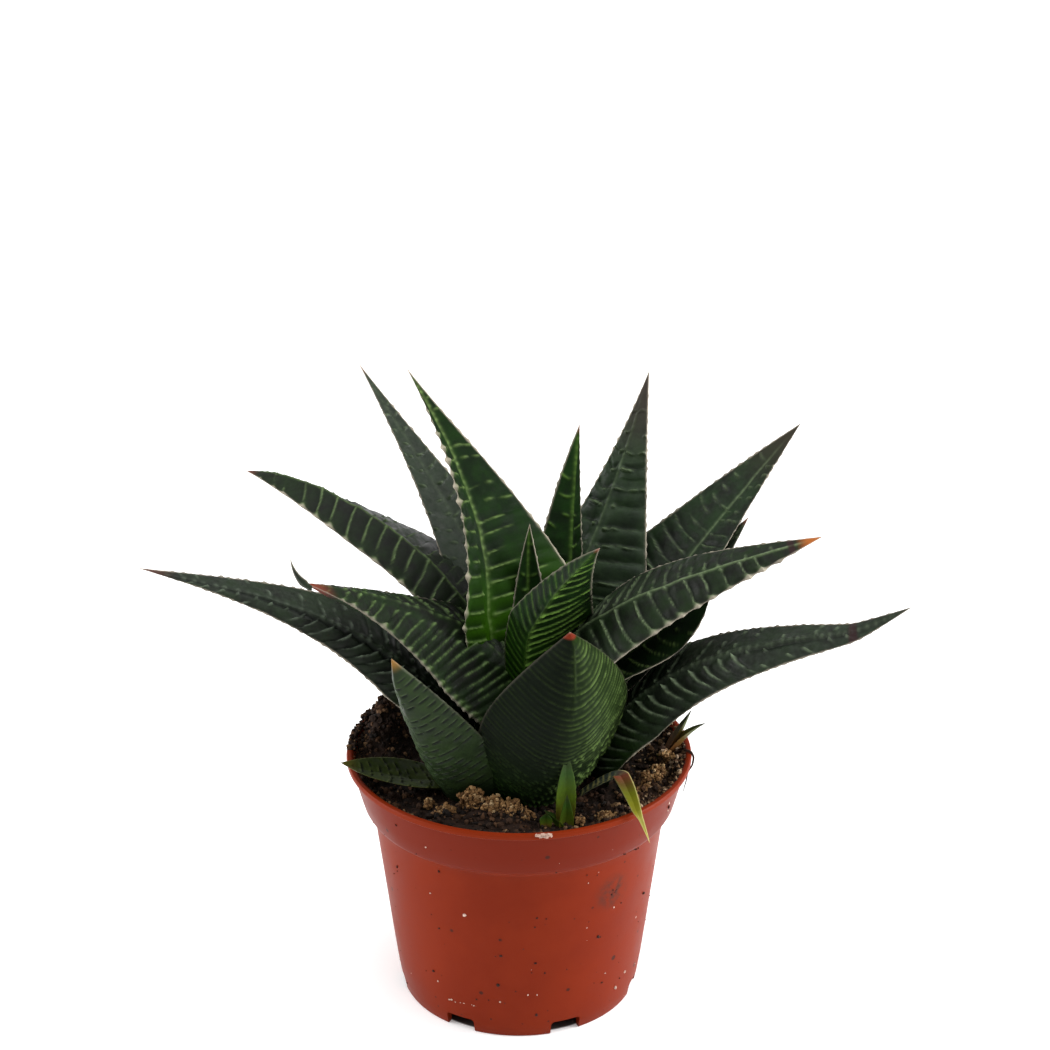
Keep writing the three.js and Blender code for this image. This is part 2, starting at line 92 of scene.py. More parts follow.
def lattice_noise(points: np.ndarray, seed: int) -> np.ndarray:
    """Smooth repeatable noise.

    Args:
        points: Places, three numbers each, with features about one unit apart.
        seed: Which noise this is.

    Returns:
        A value between -1 and 1 for each place.
    """
    cell = np.floor(points).astype(np.int64)
    part = points - cell
    part = part * part * (3 - 2 * part)
    total = np.zeros(points.shape[:-1])
    for corner in itertools.product((0, 1), repeat=3):
        step = np.array(corner)
        spot = cell + step
        value = chance(spot[..., 0] * 131 + spot[..., 1], spot[..., 2], seed) * 2 - 1
        total += value * np.prod(np.where(step, part, 1 - part), axis=-1)
    return total


def noise_at(x: np.ndarray, y: np.ndarray | float, z: np.ndarray | float, seed: int) -> np.ndarray:
    """Smooth repeatable noise at places given by their three coordinates."""
    return lattice_noise(np.stack(np.broadcast_arrays(x, y, z), -1), seed)


def smooth_step(low: float | np.ndarray, high: float | np.ndarray, value: np.ndarray) -> np.ndarray:
    """A smooth rise from 0 at low to 1 at high, or a fall where low is the larger."""
    share = np.clip((value - low) / (high - low), 0, 1)
    return share * share * (3 - 2 * share)


def hump(distance: np.ndarray, width: float) -> np.ndarray:
    """A bell-shaped hump of height 1 that falls away over a width."""
    return np.exp(-((distance / width) ** 2))


def about_axis(radius: np.ndarray | float, angle: np.ndarray, height: np.ndarray | float) -> np.ndarray:
    """Points at a radius and an angle about the pot's axis, at a height."""
    return np.stack(np.broadcast_arrays(radius * np.cos(angle), radius * np.sin(angle), height), -1)


def full_turn(count: int) -> np.ndarray:
    """Equal steps of one whole turn, in radians."""
    return 2 * math.pi * np.arange(count) / count


@dataclass(frozen=True)
class PlantFrame:
    """Where the pot's axis stands in the model, in metres."""

    x: float
    y: float

    @classmethod
    def from_pot(cls) -> "PlantFrame":
        """The frame of the pot that the model holds."""
        low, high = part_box("pot")
        return cls((low[0] + high[0]) / 2, (low[1] + high[1]) / 2)

    def metres(self, points: np.ndarray | Sequence[float]) -> np.ndarray:
        """Millimetres in the plant's frame as metres in the model's frame."""
        return np.asarray(points, float) * MM + np.array([self.x, self.y, 0.0])


def add_object(name: str, data: bpy.types.ID) -> bpy.types.Object:
    """Puts an object with its data in the scene."""
    thing = bpy.data.objects.new(name, data)
    bpy.context.scene.collection.objects.link(thing)
    return thing


def add_mesh(name: str, points: np.ndarray, *face_sets: np.ndarray, smooth: bool = True) -> bpy.types.Object:
    """Makes a mesh object.

    Args:
        name: The piece's name.
        points: The corners, in metres.
        face_sets: Arrays of corner numbers, one row a face, each array with its own face size.
        smooth: Whether the faces are shaded smooth.

    Returns:
        The object, at the origin.
    """
    mesh = bpy.data.meshes.new(name)
    loops = np.concatenate([faces.ravel() for faces in face_sets]).astype(np.int32)
    totals = np.concatenate([np.full(len(faces), faces.shape[1]) for faces in face_sets])
    starts = np.concatenate([[0], np.cumsum(totals)[:-1]]).astype(np.int32)
    mesh.vertices.add(len(points))
    mesh.vertices.foreach_set("co", np.asarray(points, np.float32).ravel())
    mesh.loops.add(len(loops))
    mesh.loops.foreach_set("vertex_index", loops)
    mesh.polygons.add(len(totals))
    mesh.polygons.foreach_set("loop_start", starts)
    mesh.polygons.foreach_set("use_smooth", np.full(len(totals), smooth))
    mesh.update(calc_edges=True)
    mesh.validate()
    return add_object(name, mesh)


def write_colours(piece: bpy.types.Object, name: str, values: np.ndarray) -> None:
    """Stores three numbers for each corner of a piece, for its material to read."""
    layer = piece.data.attributes.new(name, "FLOAT_COLOR", "POINT")
    full = np.ones((len(values), 4), np.float32)
    full[:, :3] = values
    layer.data.foreach_set("color", full.ravel())


def write_tones(piece: bpy.types.Object, tones: np.ndarray) -> None:
    """Stores each corner's tone, from dark to pale."""
    write_colours(piece, "tone", np.repeat(tones[:, None], 3, 1))


def ringed(
    name: str, rings: np.ndarray, last: np.ndarray, first: np.ndarray, flip: bool = False
) -> bpy.types.Object:
    """Makes a closed mesh from closed rings of corners, with a point that closes each end.

    Args:
        name: The piece's name.
        rings: The corners in metres, by ring and by place in the ring.
        last: The point beyond the last ring.
        first: The point before the first ring.
        flip: Whether the faces are turned over, for rings that run the other way round.

    Returns:
        The object.
    """
    count, around = rings.shape[:2]
    ring, spoke = np.meshgrid(np.arange(count - 1), np.arange(around), indexing="ij")
    here, beside = ring * around + spoke, ring * around + (spoke + 1) % around
    quads = np.stack([here, beside, beside + around, here + around], -1).reshape(-1, 4)
    total = count * around
    start, after = here[0], beside[0]
    end = (count - 1) * around
    over = np.stack([start + end, after + end, np.full(around, total)], -1)
    under = np.stack([after, start, np.full(around, total + 1)], -1)
    faces = [quads, over, under]
    if flip:
        faces = [face[:, ::-1] for face in faces]
    return add_mesh(name, np.vstack([rings.reshape(-1, 3), last, first]), *faces)


def finish_piece(piece: bpy.types.Object, material: bpy.types.Material, slot: str, *nodes: str) -> None:
    """Dresses a piece and ties it to the model.

    Args:
        piece: The piece, in place.
        material: What it is made of.
        slot: Not used.
        nodes: The model's nodes that it stands for.
    """
    piece.data.materials.clear()
    piece.data.materials.append(material)
    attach(piece, BODY)
    if nodes:
        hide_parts(*nodes)


# Shader parts


class Nodes:
    """Adds and links nodes in one node tree."""

    def __init__(self, tree: bpy.types.NodeTree) -> None:
        """Starts with an empty tree."""
        self.tree = tree
        tree.nodes.clear()

    def add(self, kind: str, settings: dict | None = None, **inputs: object) -> bpy.types.Node:
        """Adds a node.

        Args:
            kind: The node's type name without its Shader prefix.
            settings: Its properties.
            inputs: Values or sockets for its inputs, named with underscores for spaces.

        Returns:
            The node.
        """
        prefix = "" if kind.startswith("NodeGroup") else "ShaderNode"
        node = self.tree.nodes.new(prefix + kind)
        for key, value in (settings or {}).items():
            setattr(node, key, value)
        for key, value in inputs.items():
            self.feed(node, key.replace("_", " "), value)
        return node

    def give(self, socket: bpy.types.NodeSocket, value: object) -> None:
        """Links another socket to an input, or sets the input's plain value.

        Args:
            socket: The input.
            value: The other socket, a number or a colour.
        """
        if isinstance(value, bpy.types.NodeSocket):
            self.tree.links.new(value, socket)
        elif socket.type == "RGBA" and isinstance(value, tuple):
            socket.default_value = (*value, 1.0)
        else:
            socket.default_value = value

    def feed(self, node: bpy.types.Node, name: str, value: object) -> None:
        """Gives a node's named input a socket or a plain value."""
        socket = next((s for s in node.inputs if s.name == name and s.enabled), None)
        self.give(socket or node.inputs[name], value)

    def maths(self, operation: str, first: object, second: object = 0.0) -> bpy.types.NodeSocket:
        """A sum on two values or sockets."""
        node = self.add("Math", {"operation": operation})
        self.give(node.inputs[0], first)
        self.give(node.inputs[1], second)
        return node.outputs[0]

    def times(self, first: object, second: object) -> bpy.types.NodeSocket:
        """The product of two values or sockets."""
        return self.maths("MULTIPLY", first, second)

    def blend(self, share: object, first: object, second: object) -> bpy.types.NodeSocket:
        """A mix of two colours."""
        node = self.add("Mix", {"data_type": "RGBA", "clamp_factor": True})
        for number, value in ((0, share), (6, first), (7, second)):
            self.give(node.inputs[number], value)
        return node.outputs[2]

    def spread(
        self, value: object, low: object, high: object, to_low: float = 0.0, to_high: float = 1.0
    ) -> bpy.types.NodeSocket:
        """A value moved smoothly from one range to another."""
        node = self.add("MapRange", {"interpolation_type": "SMOOTHSTEP"})
        for socket, number in zip(node.inputs, (value, low, high, to_low, to_high)):
            self.give(socket, number)
        return node.outputs[0]

    def ramp(self, share: bpy.types.NodeSocket, *stops: tuple[float, Colour]) -> bpy.types.NodeSocket:
        """A colour ramp over a share.

        Args:
            share: The share.
            stops: Each stop's place and colour.

        Returns:
            The colour.
        """
        node = self.add("ValToRGB")
        line = node.color_ramp
        while len(line.elements) < len(stops):
            line.elements.new(0.5)
        for element, (place, colour) in zip(line.elements, stops):
            element.position = place
            element.color = (*colour, 1.0)
        self.give(node.inputs[0], share)
        return node.outputs[0]

    def place(self) -> bpy.types.NodeSocket:
        """The point on the piece, in millimetres."""
        where = self.add("TexCoord").outputs["Object"]
        return self.add("VectorMath", {"operation": "SCALE"}, Vector=where, Scale=1 / MM).outputs["Vector"]

    def distance(self, where: bpy.types.NodeSocket, point: np.ndarray) -> bpy.types.NodeSocket:
        """Millimetres from a point."""
        offset = self.add("VectorMath", {"operation": "SUBTRACT"}, Vector=where)
        offset.inputs[1].default_value = tuple(float(v) / MM for v in point)
        length = self.add("VectorMath", {"operation": "LENGTH"}, Vector=offset.outputs[0])
        return length.outputs["Value"]


def make_group(
    name: str, inputs: dict[str, float | str], outputs: dict[str, str]
) -> tuple[Nodes, bpy.types.Node, bpy.types.Node]:
    """Starts a shader node group.

    Args:
        name: The group's name.
        inputs: Each input's name with its first value, or the word Vector.
        outputs: Each output's name with its kind, Float or Color.

    Returns:
        The group's node builder, and its input and output nodes.
    """
    tree = bpy.data.node_groups.new(name, "ShaderNodeTree")
    for key, value in inputs.items():
        kind = "NodeSocketVector" if value == "Vector" else "NodeSocketFloat"
        socket = tree.interface.new_socket(key, in_out="INPUT", socket_type=kind)
        if kind == "NodeSocketFloat":
            socket.default_value = value
    for key, kind in outputs.items():
        tree.interface.new_socket(key, in_out="OUTPUT", socket_type="NodeSocket" + kind)
    nodes = Nodes(tree)
    return nodes, nodes.add("NodeGroupInput"), nodes.add("NodeGroupOutput")


class Effect(Enum):
    """The shared shader effects."""

    MOTTLE = "Mottle"
    GRAIN = "Fine grain"
    SPECKS = "Specks"
    LEAF_MARKS = "Leaf marks"
    FACING_UP = "Facing up"


class Effects:
    """Builds each shared node group once and places it in materials."""

    def __init__(self) -> None:
        """Builds every group."""
        self.trees = {
            Effect.MOTTLE: self.mottle(),
            Effect.GRAIN: self.grain(),
            Effect.SPECKS: self.specks(),
            Effect.LEAF_MARKS: self.leaf_marks(),
            Effect.FACING_UP: self.facing_up(),
        }

    def use(self, nodes: Nodes, effect: Effect, **inputs: object) -> bpy.types.NodeOutputs:
        """Places an effect in a material.

        Args:
            nodes: The material's node builder.
            effect: Which effect.
            inputs: Its inputs.

        Returns:
            The effect's outputs.
        """
        node = nodes.tree.nodes.new("ShaderNodeGroup")
        node.node_tree = self.trees[effect]
        for key, value in inputs.items():
            nodes.feed(node, key, value)
        return node.outputs

    def roughen(
        self, nodes: Nodes, surface: bpy.types.Node, where: bpy.types.NodeSocket, size: float,
        strength: float, distance: float,
    ) -> None:
        """Gives a material a fine uneven surface."""
        height = self.use(nodes, Effect.GRAIN, Place=where, Size=size)[0]
        bump = nodes.add("Bump", Strength=strength, Distance=distance * MM, Height=height)
        nodes.feed(surface, "Normal", bump.outputs["Normal"])

    @staticmethod
    def mottle() -> bpy.types.NodeTree:
        """Soft uneven patches.

        Returns:
            The node group.
        """
        nodes, given, out = make_group(
            Effect.MOTTLE.value, {"Place": "Vector", "Size": 4.0, "Softness": 0.25}, {"Mask": "Float"}
        )
        scale = nodes.maths("DIVIDE", 1.0, given.outputs["Size"])
        noise = nodes.add("TexNoise", Vector=given.outputs["Place"], Scale=scale, Detail=4.0, Roughness=0.6)
        low = nodes.maths("SUBTRACT", 0.5, given.outputs["Softness"])
        high = nodes.maths("ADD", 0.5, given.outputs["Softness"])
        nodes.feed(out, "Mask", nodes.spread(noise.outputs["Fac"], low, high))
        return nodes.tree

    @staticmethod
    def grain() -> bpy.types.NodeTree:
        """A fine uneven surface, as a height.

        Returns:
            The node group.
        """
        inputs = {"Place": "Vector", "Size": 0.5}
        nodes, given, out = make_group(Effect.GRAIN.value, inputs, {"Height": "Float"})
        scale = nodes.maths("DIVIDE", 1.0, given.outputs["Size"])
        noise = nodes.add("TexNoise", Vector=given.outputs["Place"], Scale=scale, Detail=5.0, Roughness=0.65)
        nodes.feed(out, "Height", noise.outputs["Fac"])
        return nodes.tree

    @staticmethod
    def specks() -> bpy.types.NodeTree:
        """Small scattered round marks of uneven size.

        Returns:
            The node group.
        """
        nodes, given, out = make_group(
            Effect.SPECKS.value,
            {"Place": "Vector", "Spacing": 3.0, "Size": 0.3, "Share": 0.3},
            {"Mask": "Float"},
        )
        scale = nodes.maths("DIVIDE", 1.0, given.outputs["Spacing"])
        cells = nodes.add("TexVoronoi", Vector=given.outputs["Place"], Scale=scale, Randomness=1.0)
        parts = nodes.add("SeparateColor", Color=cells.outputs["Color"])
        distance = nodes.times(cells.outputs["Distance"], given.outputs["Spacing"])
        own = nodes.times(given.outputs["Size"], nodes.spread(parts.outputs["Green"], 0, 1, 0.4, 1.6))
        inside = nodes.spread(nodes.maths("DIVIDE", distance, own), 0.7, 1.1, 1.0, 0.0)
        wanted = nodes.maths("LESS_THAN", parts.outputs["Red"], given.outputs["Share"])
        nodes.feed(out, "Mask", nodes.times(inside, wanted))
        return nodes.tree

    @staticmethod
    def leaf_marks() -> bpy.types.NodeTree:
        """What a leaf's mesh says about its own surface, and its painted shade.

        Returns:
            The node group.
        """
        marks, place = ("Ridge", "Margin", "Pit shade"), ("Along", "Across")
        nodes, _, out = make_group(Effect.LEAF_MARKS.value, {}, dict.fromkeys(marks + place, "Float"))
        for attribute, keys in (("marks", marks), ("place", place)):
            read = nodes.add("Attribute", {"attribute_name": attribute})
            parts = nodes.add("SeparateColor", Color=read.outputs["Color"])
            for channel, key in zip(("Red", "Green", "Blue"), keys):
                nodes.feed(out, key, parts.outputs[channel])
        return nodes.tree

    @staticmethod
    def facing_up() -> bpy.types.NodeTree:
        """Where a surface faces up: the mask for the waxy bloom and for the painted sheen of the top light.
        """
        nodes, _, out = make_group(Effect.FACING_UP.value, {}, {"Mask": "Float"})
        way = nodes.add("SeparateXYZ", Vector=nodes.add("NewGeometry").outputs["Normal"])
        nodes.feed(out, "Mask", nodes.spread(way.outputs["Z"], -0.1, 0.95))
        return nodes.tree


def new_material(name: str, gloss: float) -> tuple[bpy.types.Material, Nodes, bpy.types.Node]:
    """Starts a material.

    Args:
        name: The material's name.
        gloss: How strongly its surface mirrors light.

    Returns:
        The material, its node builder and its surface shader.
    """
    material = bpy.data.materials.new(name)
    material.use_nodes = True
    nodes = Nodes(material.node_tree)
    surface = nodes.add("BsdfPrincipled")
    surface.inputs["Specular IOR Level"].default_value = gloss
    out = nodes.add("OutputMaterial")
    nodes.tree.links.new(surface.outputs["BSDF"], out.inputs["Surface"])
    return material, nodes, surface


@dataclass(frozen=True)
class LeafFinish:
    """The skin of a succulent leaf: dark panels between pale cross ridges.

    panel and flesh are the skin's two mottled tones, ridge and margin the raised lines and
    the edge. glow is the fresh green near the foot, from and to two shares of the length.
    tip is the tip's tone and where it sets in, bloom_and_sheen the dull bloom on what faces up
    together with a painted sheen of the top light, lit the painted light on the sunlit half,
    scar the share of the length with a dark scar, pit_shade the painted shade in the hollows.
    """

    name: str
    panel: Colour = (0.0085, 0.0088, 0.0075)
    flesh: Colour = (0.011, 0.02, 0.008)
    ridge: Colour = (0.19, 0.26, 0.13)
    margin: Colour = (0.5, 0.44, 0.35)
    glow: Colour = (0.024, 0.085, 0.002)
    glow_from: float = 0.34
    glow_to: float = 0.02
    glow_share: float = 0.8
    tip: Colour = (0.12, 0.03, 0.018)
    tip_from: float = 0.95
    tip_to: float = 0.99
    bloom_and_sheen: Colour = (0.04, 0.054, 0.038)
    bloom_and_sheen_share: float = 0.26
    lit: Colour = (0.055, 0.1, 0.015)
    lit_share: float = 0.0
    lit_from: float = 0.3
    scar: float = 0.0
    scar_tone: Colour = (0.026, 0.011, 0.012)
    pit_shade: Colour = (0.006, 0.008, 0.006)
    pit_shade_share: float = 0.85
    margin_share: float = 0.85
    roughness: float = 0.42
    gloss: float = 0.13
    patch_size: float = 5.0
    cloud_size: float = 1.3
    grain_size: float = 0.45

    def material(self, effects: Effects) -> bpy.types.Material:
        """Builds the material.

        Args:
            effects: The shared node groups.

        Returns:
            The material.
        """
        material, nodes, surface = new_material(self.name, self.gloss)
        where = nodes.place()
        marks = effects.use(nodes, Effect.LEAF_MARKS)
        patches = effects.use(nodes, Effect.MOTTLE, Place=where, Size=self.patch_size, Softness=0.22)[0]
        cloud = effects.use(nodes, Effect.MOTTLE, Place=where, Size=self.cloud_size, Softness=0.3)[0]
        colour = nodes.blend(patches, self.panel, self.flesh)
        glow = nodes.times(nodes.spread(marks["Along"], self.glow_from, self.glow_to), self.glow_share)
        colour = nodes.blend(glow, colour, self.glow)
        # Painted light: the half of the leaf that faces the lamp is painted a lighter green.
        if self.lit_share:
            raised = nodes.spread(marks["Along"], self.lit_from - 0.2, self.lit_from + 0.3)
            sunny = nodes.times(nodes.spread(marks["Across"], 0.68, 0.25), raised)
            colour = nodes.blend(nodes.times(sunny, self.lit_share), colour, self.lit)
        # Waxy bloom together with a painted sheen of the top light, paler where the surface faces up.
        upward = effects.use(nodes, Effect.FACING_UP)[0]
        bloom_and_sheen = nodes.times(upward, nodes.spread(cloud, 0, 1, 0.15, 1.0))
        colour = nodes.blend(nodes.times(bloom_and_sheen, self.bloom_and_sheen_share), colour, self.bloom_and_sheen)
        # Painted shade in the hollows: behind each ridge, under the bumps and along the crease.
        colour = nodes.blend(nodes.times(marks["Pit shade"], self.pit_shade_share), colour, self.pit_shade)
        uneven = nodes.spread(cloud, 0, 1, 0.6, 1.0)
        colour = nodes.blend(nodes.times(marks["Ridge"], uneven), colour, self.ridge)
        colour = nodes.blend(nodes.spread(marks["Along"], self.tip_from, self.tip_to), colour, self.tip)
        if self.scar:
            away = nodes.maths("ABSOLUTE", nodes.maths("SUBTRACT", marks["Along"], self.scar))
            colour = nodes.blend(nodes.spread(away, 0.015, 0.005, 0.0, 0.85), colour, self.scar_tone)
        colour = nodes.blend(nodes.times(marks["Margin"], self.margin_share), colour, self.margin)
        nodes.feed(surface, "Base Color", colour)
        rough = nodes.spread(patches, 0, 1, self.roughness - 0.07, self.roughness + 0.1)
        nodes.feed(surface, "Roughness", rough)
        effects.roughen(nodes, surface, where, self.grain_size, 0.35, 0.12)
        return material


@dataclass(frozen=True)
class BandedLeafFinish:
    """The skin of a small or withered leaf, whose colour runs in bands from foot to tip."""

    name: str
    bands: Bands
    margin: Colour
    margin_share: float = 0.8
    shade: Colour = (0.01, 0.012, 0.006)
    roughness: float = 0.4
    gloss: float = 0.12
    patch_size: float = 1.6
    grain_size: float = 0.4

    def material(self, effects: Effects) -> bpy.types.Material:
        """Builds the material.

        Args:
            effects: The shared node groups.

        Returns:
            The material.
        """
        material, nodes, surface = new_material(self.name, self.gloss)
        where = nodes.place()
        marks = effects.use(nodes, Effect.LEAF_MARKS)
        colour = nodes.ramp(marks["Along"], *self.bands)
        patches = effects.use(nodes, Effect.MOTTLE, Place=where, Size=self.patch_size, Softness=0.3)[0]
        dark = nodes.blend(0.55, colour, self.shade)
        colour = nodes.blend(nodes.times(patches, 0.45), colour, dark)
        colour = nodes.blend(nodes.times(marks["Ridge"], 0.8), colour, self.margin)
        colour = nodes.blend(nodes.times(marks["Margin"], self.margin_share), colour, self.margin)
        nodes.feed(surface, "Base Color", colour)
        rough = nodes.spread(patches, 0, 1, self.roughness - 0.08, self.roughness + 0.1)
        nodes.feed(surface, "Roughness", rough)
        effects.roughen(nodes, surface, where, self.grain_size, 0.3, 0.1)
        return material


@dataclass(frozen=True)
class Splash:
    """One sort of small mark on the pot: spacing, size, how many places have one, tone and strength."""

    spacing: float
    size: float
    share: float
    tone: Colour
    strength: float


@dataclass(frozen=True)
class PotFinish:
    """Thin moulded plastic, handled and splashed with potting soil.

    base and deep are the wall's two mottled tones, shaded_band and lip those of the parts above
    the ledge, which start at shaded_band_from and lip_from; shaded_band is darker as painted
    shade under the lip. smear is the soil wiped on at smear_at.
    """

    name: str = "terracotta plastic"
    base: Colour = (0.168, 0.0165, 0.0028)
    deep: Colour = (0.142, 0.0125, 0.0018)
    shaded_band: Colour = (0.126, 0.0105, 0.0018)
    shaded_band_from: tuple[float, float] = (50.8, 51.6)
    lip: Colour = (0.16, 0.0165, 0.003)
    lip_from: tuple[float, float] = (62.4, 63.0)
    smear: Colour = (0.045, 0.018, 0.012)
    smear_at: Triple = (22.6, -26.5, 39.6)
    smear_edge: tuple[float, float] = (6.5, 1.5)
    splashes: tuple[Splash, ...] = (
        Splash(5.6, 0.5, 0.34, (0.04, 0.01, 0.006), 0.95),
        Splash(3.1, 0.26, 0.34, (0.04, 0.01, 0.006), 0.8),
        Splash(7.0, 0.22, 0.3, (0.6, 0.46, 0.4), 0.5),
        Splash(3.6, 0.13, 0.22, (0.6, 0.46, 0.4), 0.45),
    )
    roughness: float = 0.36
    gloss: float = 0.05

    def material(self, effects: Effects, plant: PlantFrame) -> bpy.types.Material:
        """Builds the material.

        Args:
            effects: The shared node groups.
            plant: Where the pot stands.

        Returns:
            The material.
        """
        material, nodes, surface = new_material(self.name, self.gloss)
        where = nodes.place()
        patches = effects.use(nodes, Effect.MOTTLE, Place=where, Size=18.0, Softness=0.25)[0]
        colour = nodes.blend(patches, self.deep, self.base)
        high = nodes.add("SeparateXYZ", Vector=where).outputs["Z"]
        # Painted shade: the band under the lip is painted darker than the wall.
        colour = nodes.blend(nodes.spread(high, *self.shaded_band_from), colour, self.shaded_band)
        colour = nodes.blend(nodes.spread(high, *self.lip_from), colour, self.lip)
        away = nodes.distance(where, plant.metres(self.smear_at))
        cloud = effects.use(nodes, Effect.MOTTLE, Place=where, Size=2.2, Softness=0.16)[0]
        smear = nodes.times(nodes.spread(away, *self.smear_edge), cloud)
        colour = nodes.blend(nodes.times(smear, 0.9), colour, self.smear)
        for splash in self.splashes:
            dots = effects.use(
                nodes, Effect.SPECKS, Place=where, Spacing=splash.spacing, Size=splash.size,
                Share=splash.share
            )
            colour = nodes.blend(nodes.times(dots[0], splash.strength), colour, splash.tone)
        nodes.feed(surface, "Base Color", colour)
        nodes.feed(surface, "Roughness", nodes.spread(patches, 0, 1, self.roughness, self.roughness + 0.1))
        effects.roughen(nodes, surface, where, 0.8, 0.18, 0.08)
        return material


@dataclass(frozen=True)
class CrumbFinish:
    """Crumbs whose colour each one carries as a tone from dark to pale."""

    name: str
    tones: Bands
    shade: Colour = (0.008, 0.005, 0.004)
    roughness: float = 0.85
    gloss: float = 0.1
    patch_size: float = 0.6
    grain_size: float = 0.35

    def material(self, effects: Effects) -> bpy.types.Material:
        """Builds the material.

        Args:
            effects: The shared node groups.

        Returns:
            The material.
        """
        material, nodes, surface = new_material(self.name, self.gloss)
        where = nodes.place()
        read = nodes.add("Attribute", {"attribute_name": "tone"})
        tone = nodes.add("SeparateColor", Color=read.outputs["Color"]).outputs["Red"]
        colour = nodes.ramp(tone, *self.tones)
        patches = effects.use(nodes, Effect.MOTTLE, Place=where, Size=self.patch_size, Softness=0.2)[0]
        dark = nodes.blend(0.6, colour, self.shade)
        colour = nodes.blend(nodes.times(patches, 0.6), colour, dark)
        nodes.feed(surface, "Base Color", colour)
        nodes.feed(surface, "Roughness", nodes.spread(patches, 0, 1, self.roughness - 0.1, self.roughness))
        effects.roughen(nodes, surface, where, self.grain_size, 0.6, 0.2)
        return material


# Leaves


class Face(Enum):
    """How one side of a leaf's face is patterned."""

    LADDER = "thin ridges between flat dark panels"
    SCALES = "panels that overlap like scales"
    WAVES = "rounded waves"
    FINE = "fine close ridges that break up into beads low down"
    # The dark dash under each bump is a painted shadow.
    DASHES = "small bumps with a dark dash under each"
    SMOOTH = "no pattern"


class Draw(IntEnum):
    """Which of its random shares a ridge row or a bead draws."""

    PLACE = 0
    REACH = 1
    STRENGTH = 2
    START = 3
    DOT = 4
    BEAD_PLACE = 5
    BEAD_SIZE = 6
    END = 12
    TOOTH = 13


@dataclass(frozen=True)
class Spots:
    """Points on a leaf.

    along is millimetres along the leaf, out the place from 0 in the middle to 1 at the
    edge, wide the half width there in millimetres and share the share of the length.
    """

    along: np.ndarray
    out: np.ndarray
    wide: np.ndarray
    share: np.ndarray

    def beside(self) -> np.ndarray:
        """Millimetres sideways from the middle."""
        return self.out * self.wide


@dataclass(frozen=True)
class Rows:
    """The ridge row that each of some points belongs to.

    number is that row's number and cell the number of the last row passed. rising goes from
    0 to 1 between the rows behind and ahead, and away is millimetres past the nearer one.
    reach is the share of the leaf where the row's kind ends and alive fades it out there,
    strength is the row's own, texture an uneven grain and seed the side's own number.
    """

    number: np.ndarray
    cell: np.ndarray
    rising: np.ndarray
    away: np.ndarray
    reach: np.ndarray
    alive: np.ndarray
    strength: np.ndarray
    texture: np.ndarray
    seed: int

    def drawn(self, place: np.ndarray, salt: int) -> np.ndarray:
        """A random share for each row and each place in it."""
        return chance(self.number, place, self.seed + salt)


Pattern = tuple[np.ndarray, np.ndarray, np.ndarray]
ROW_STRAY = 0.14
BEAD_PACE = 1.5
BUMP_PACE = 2.4
DASH_PACE = 2.7
CREST_PLACE = 0.62
DASH_PLACE = 0.42


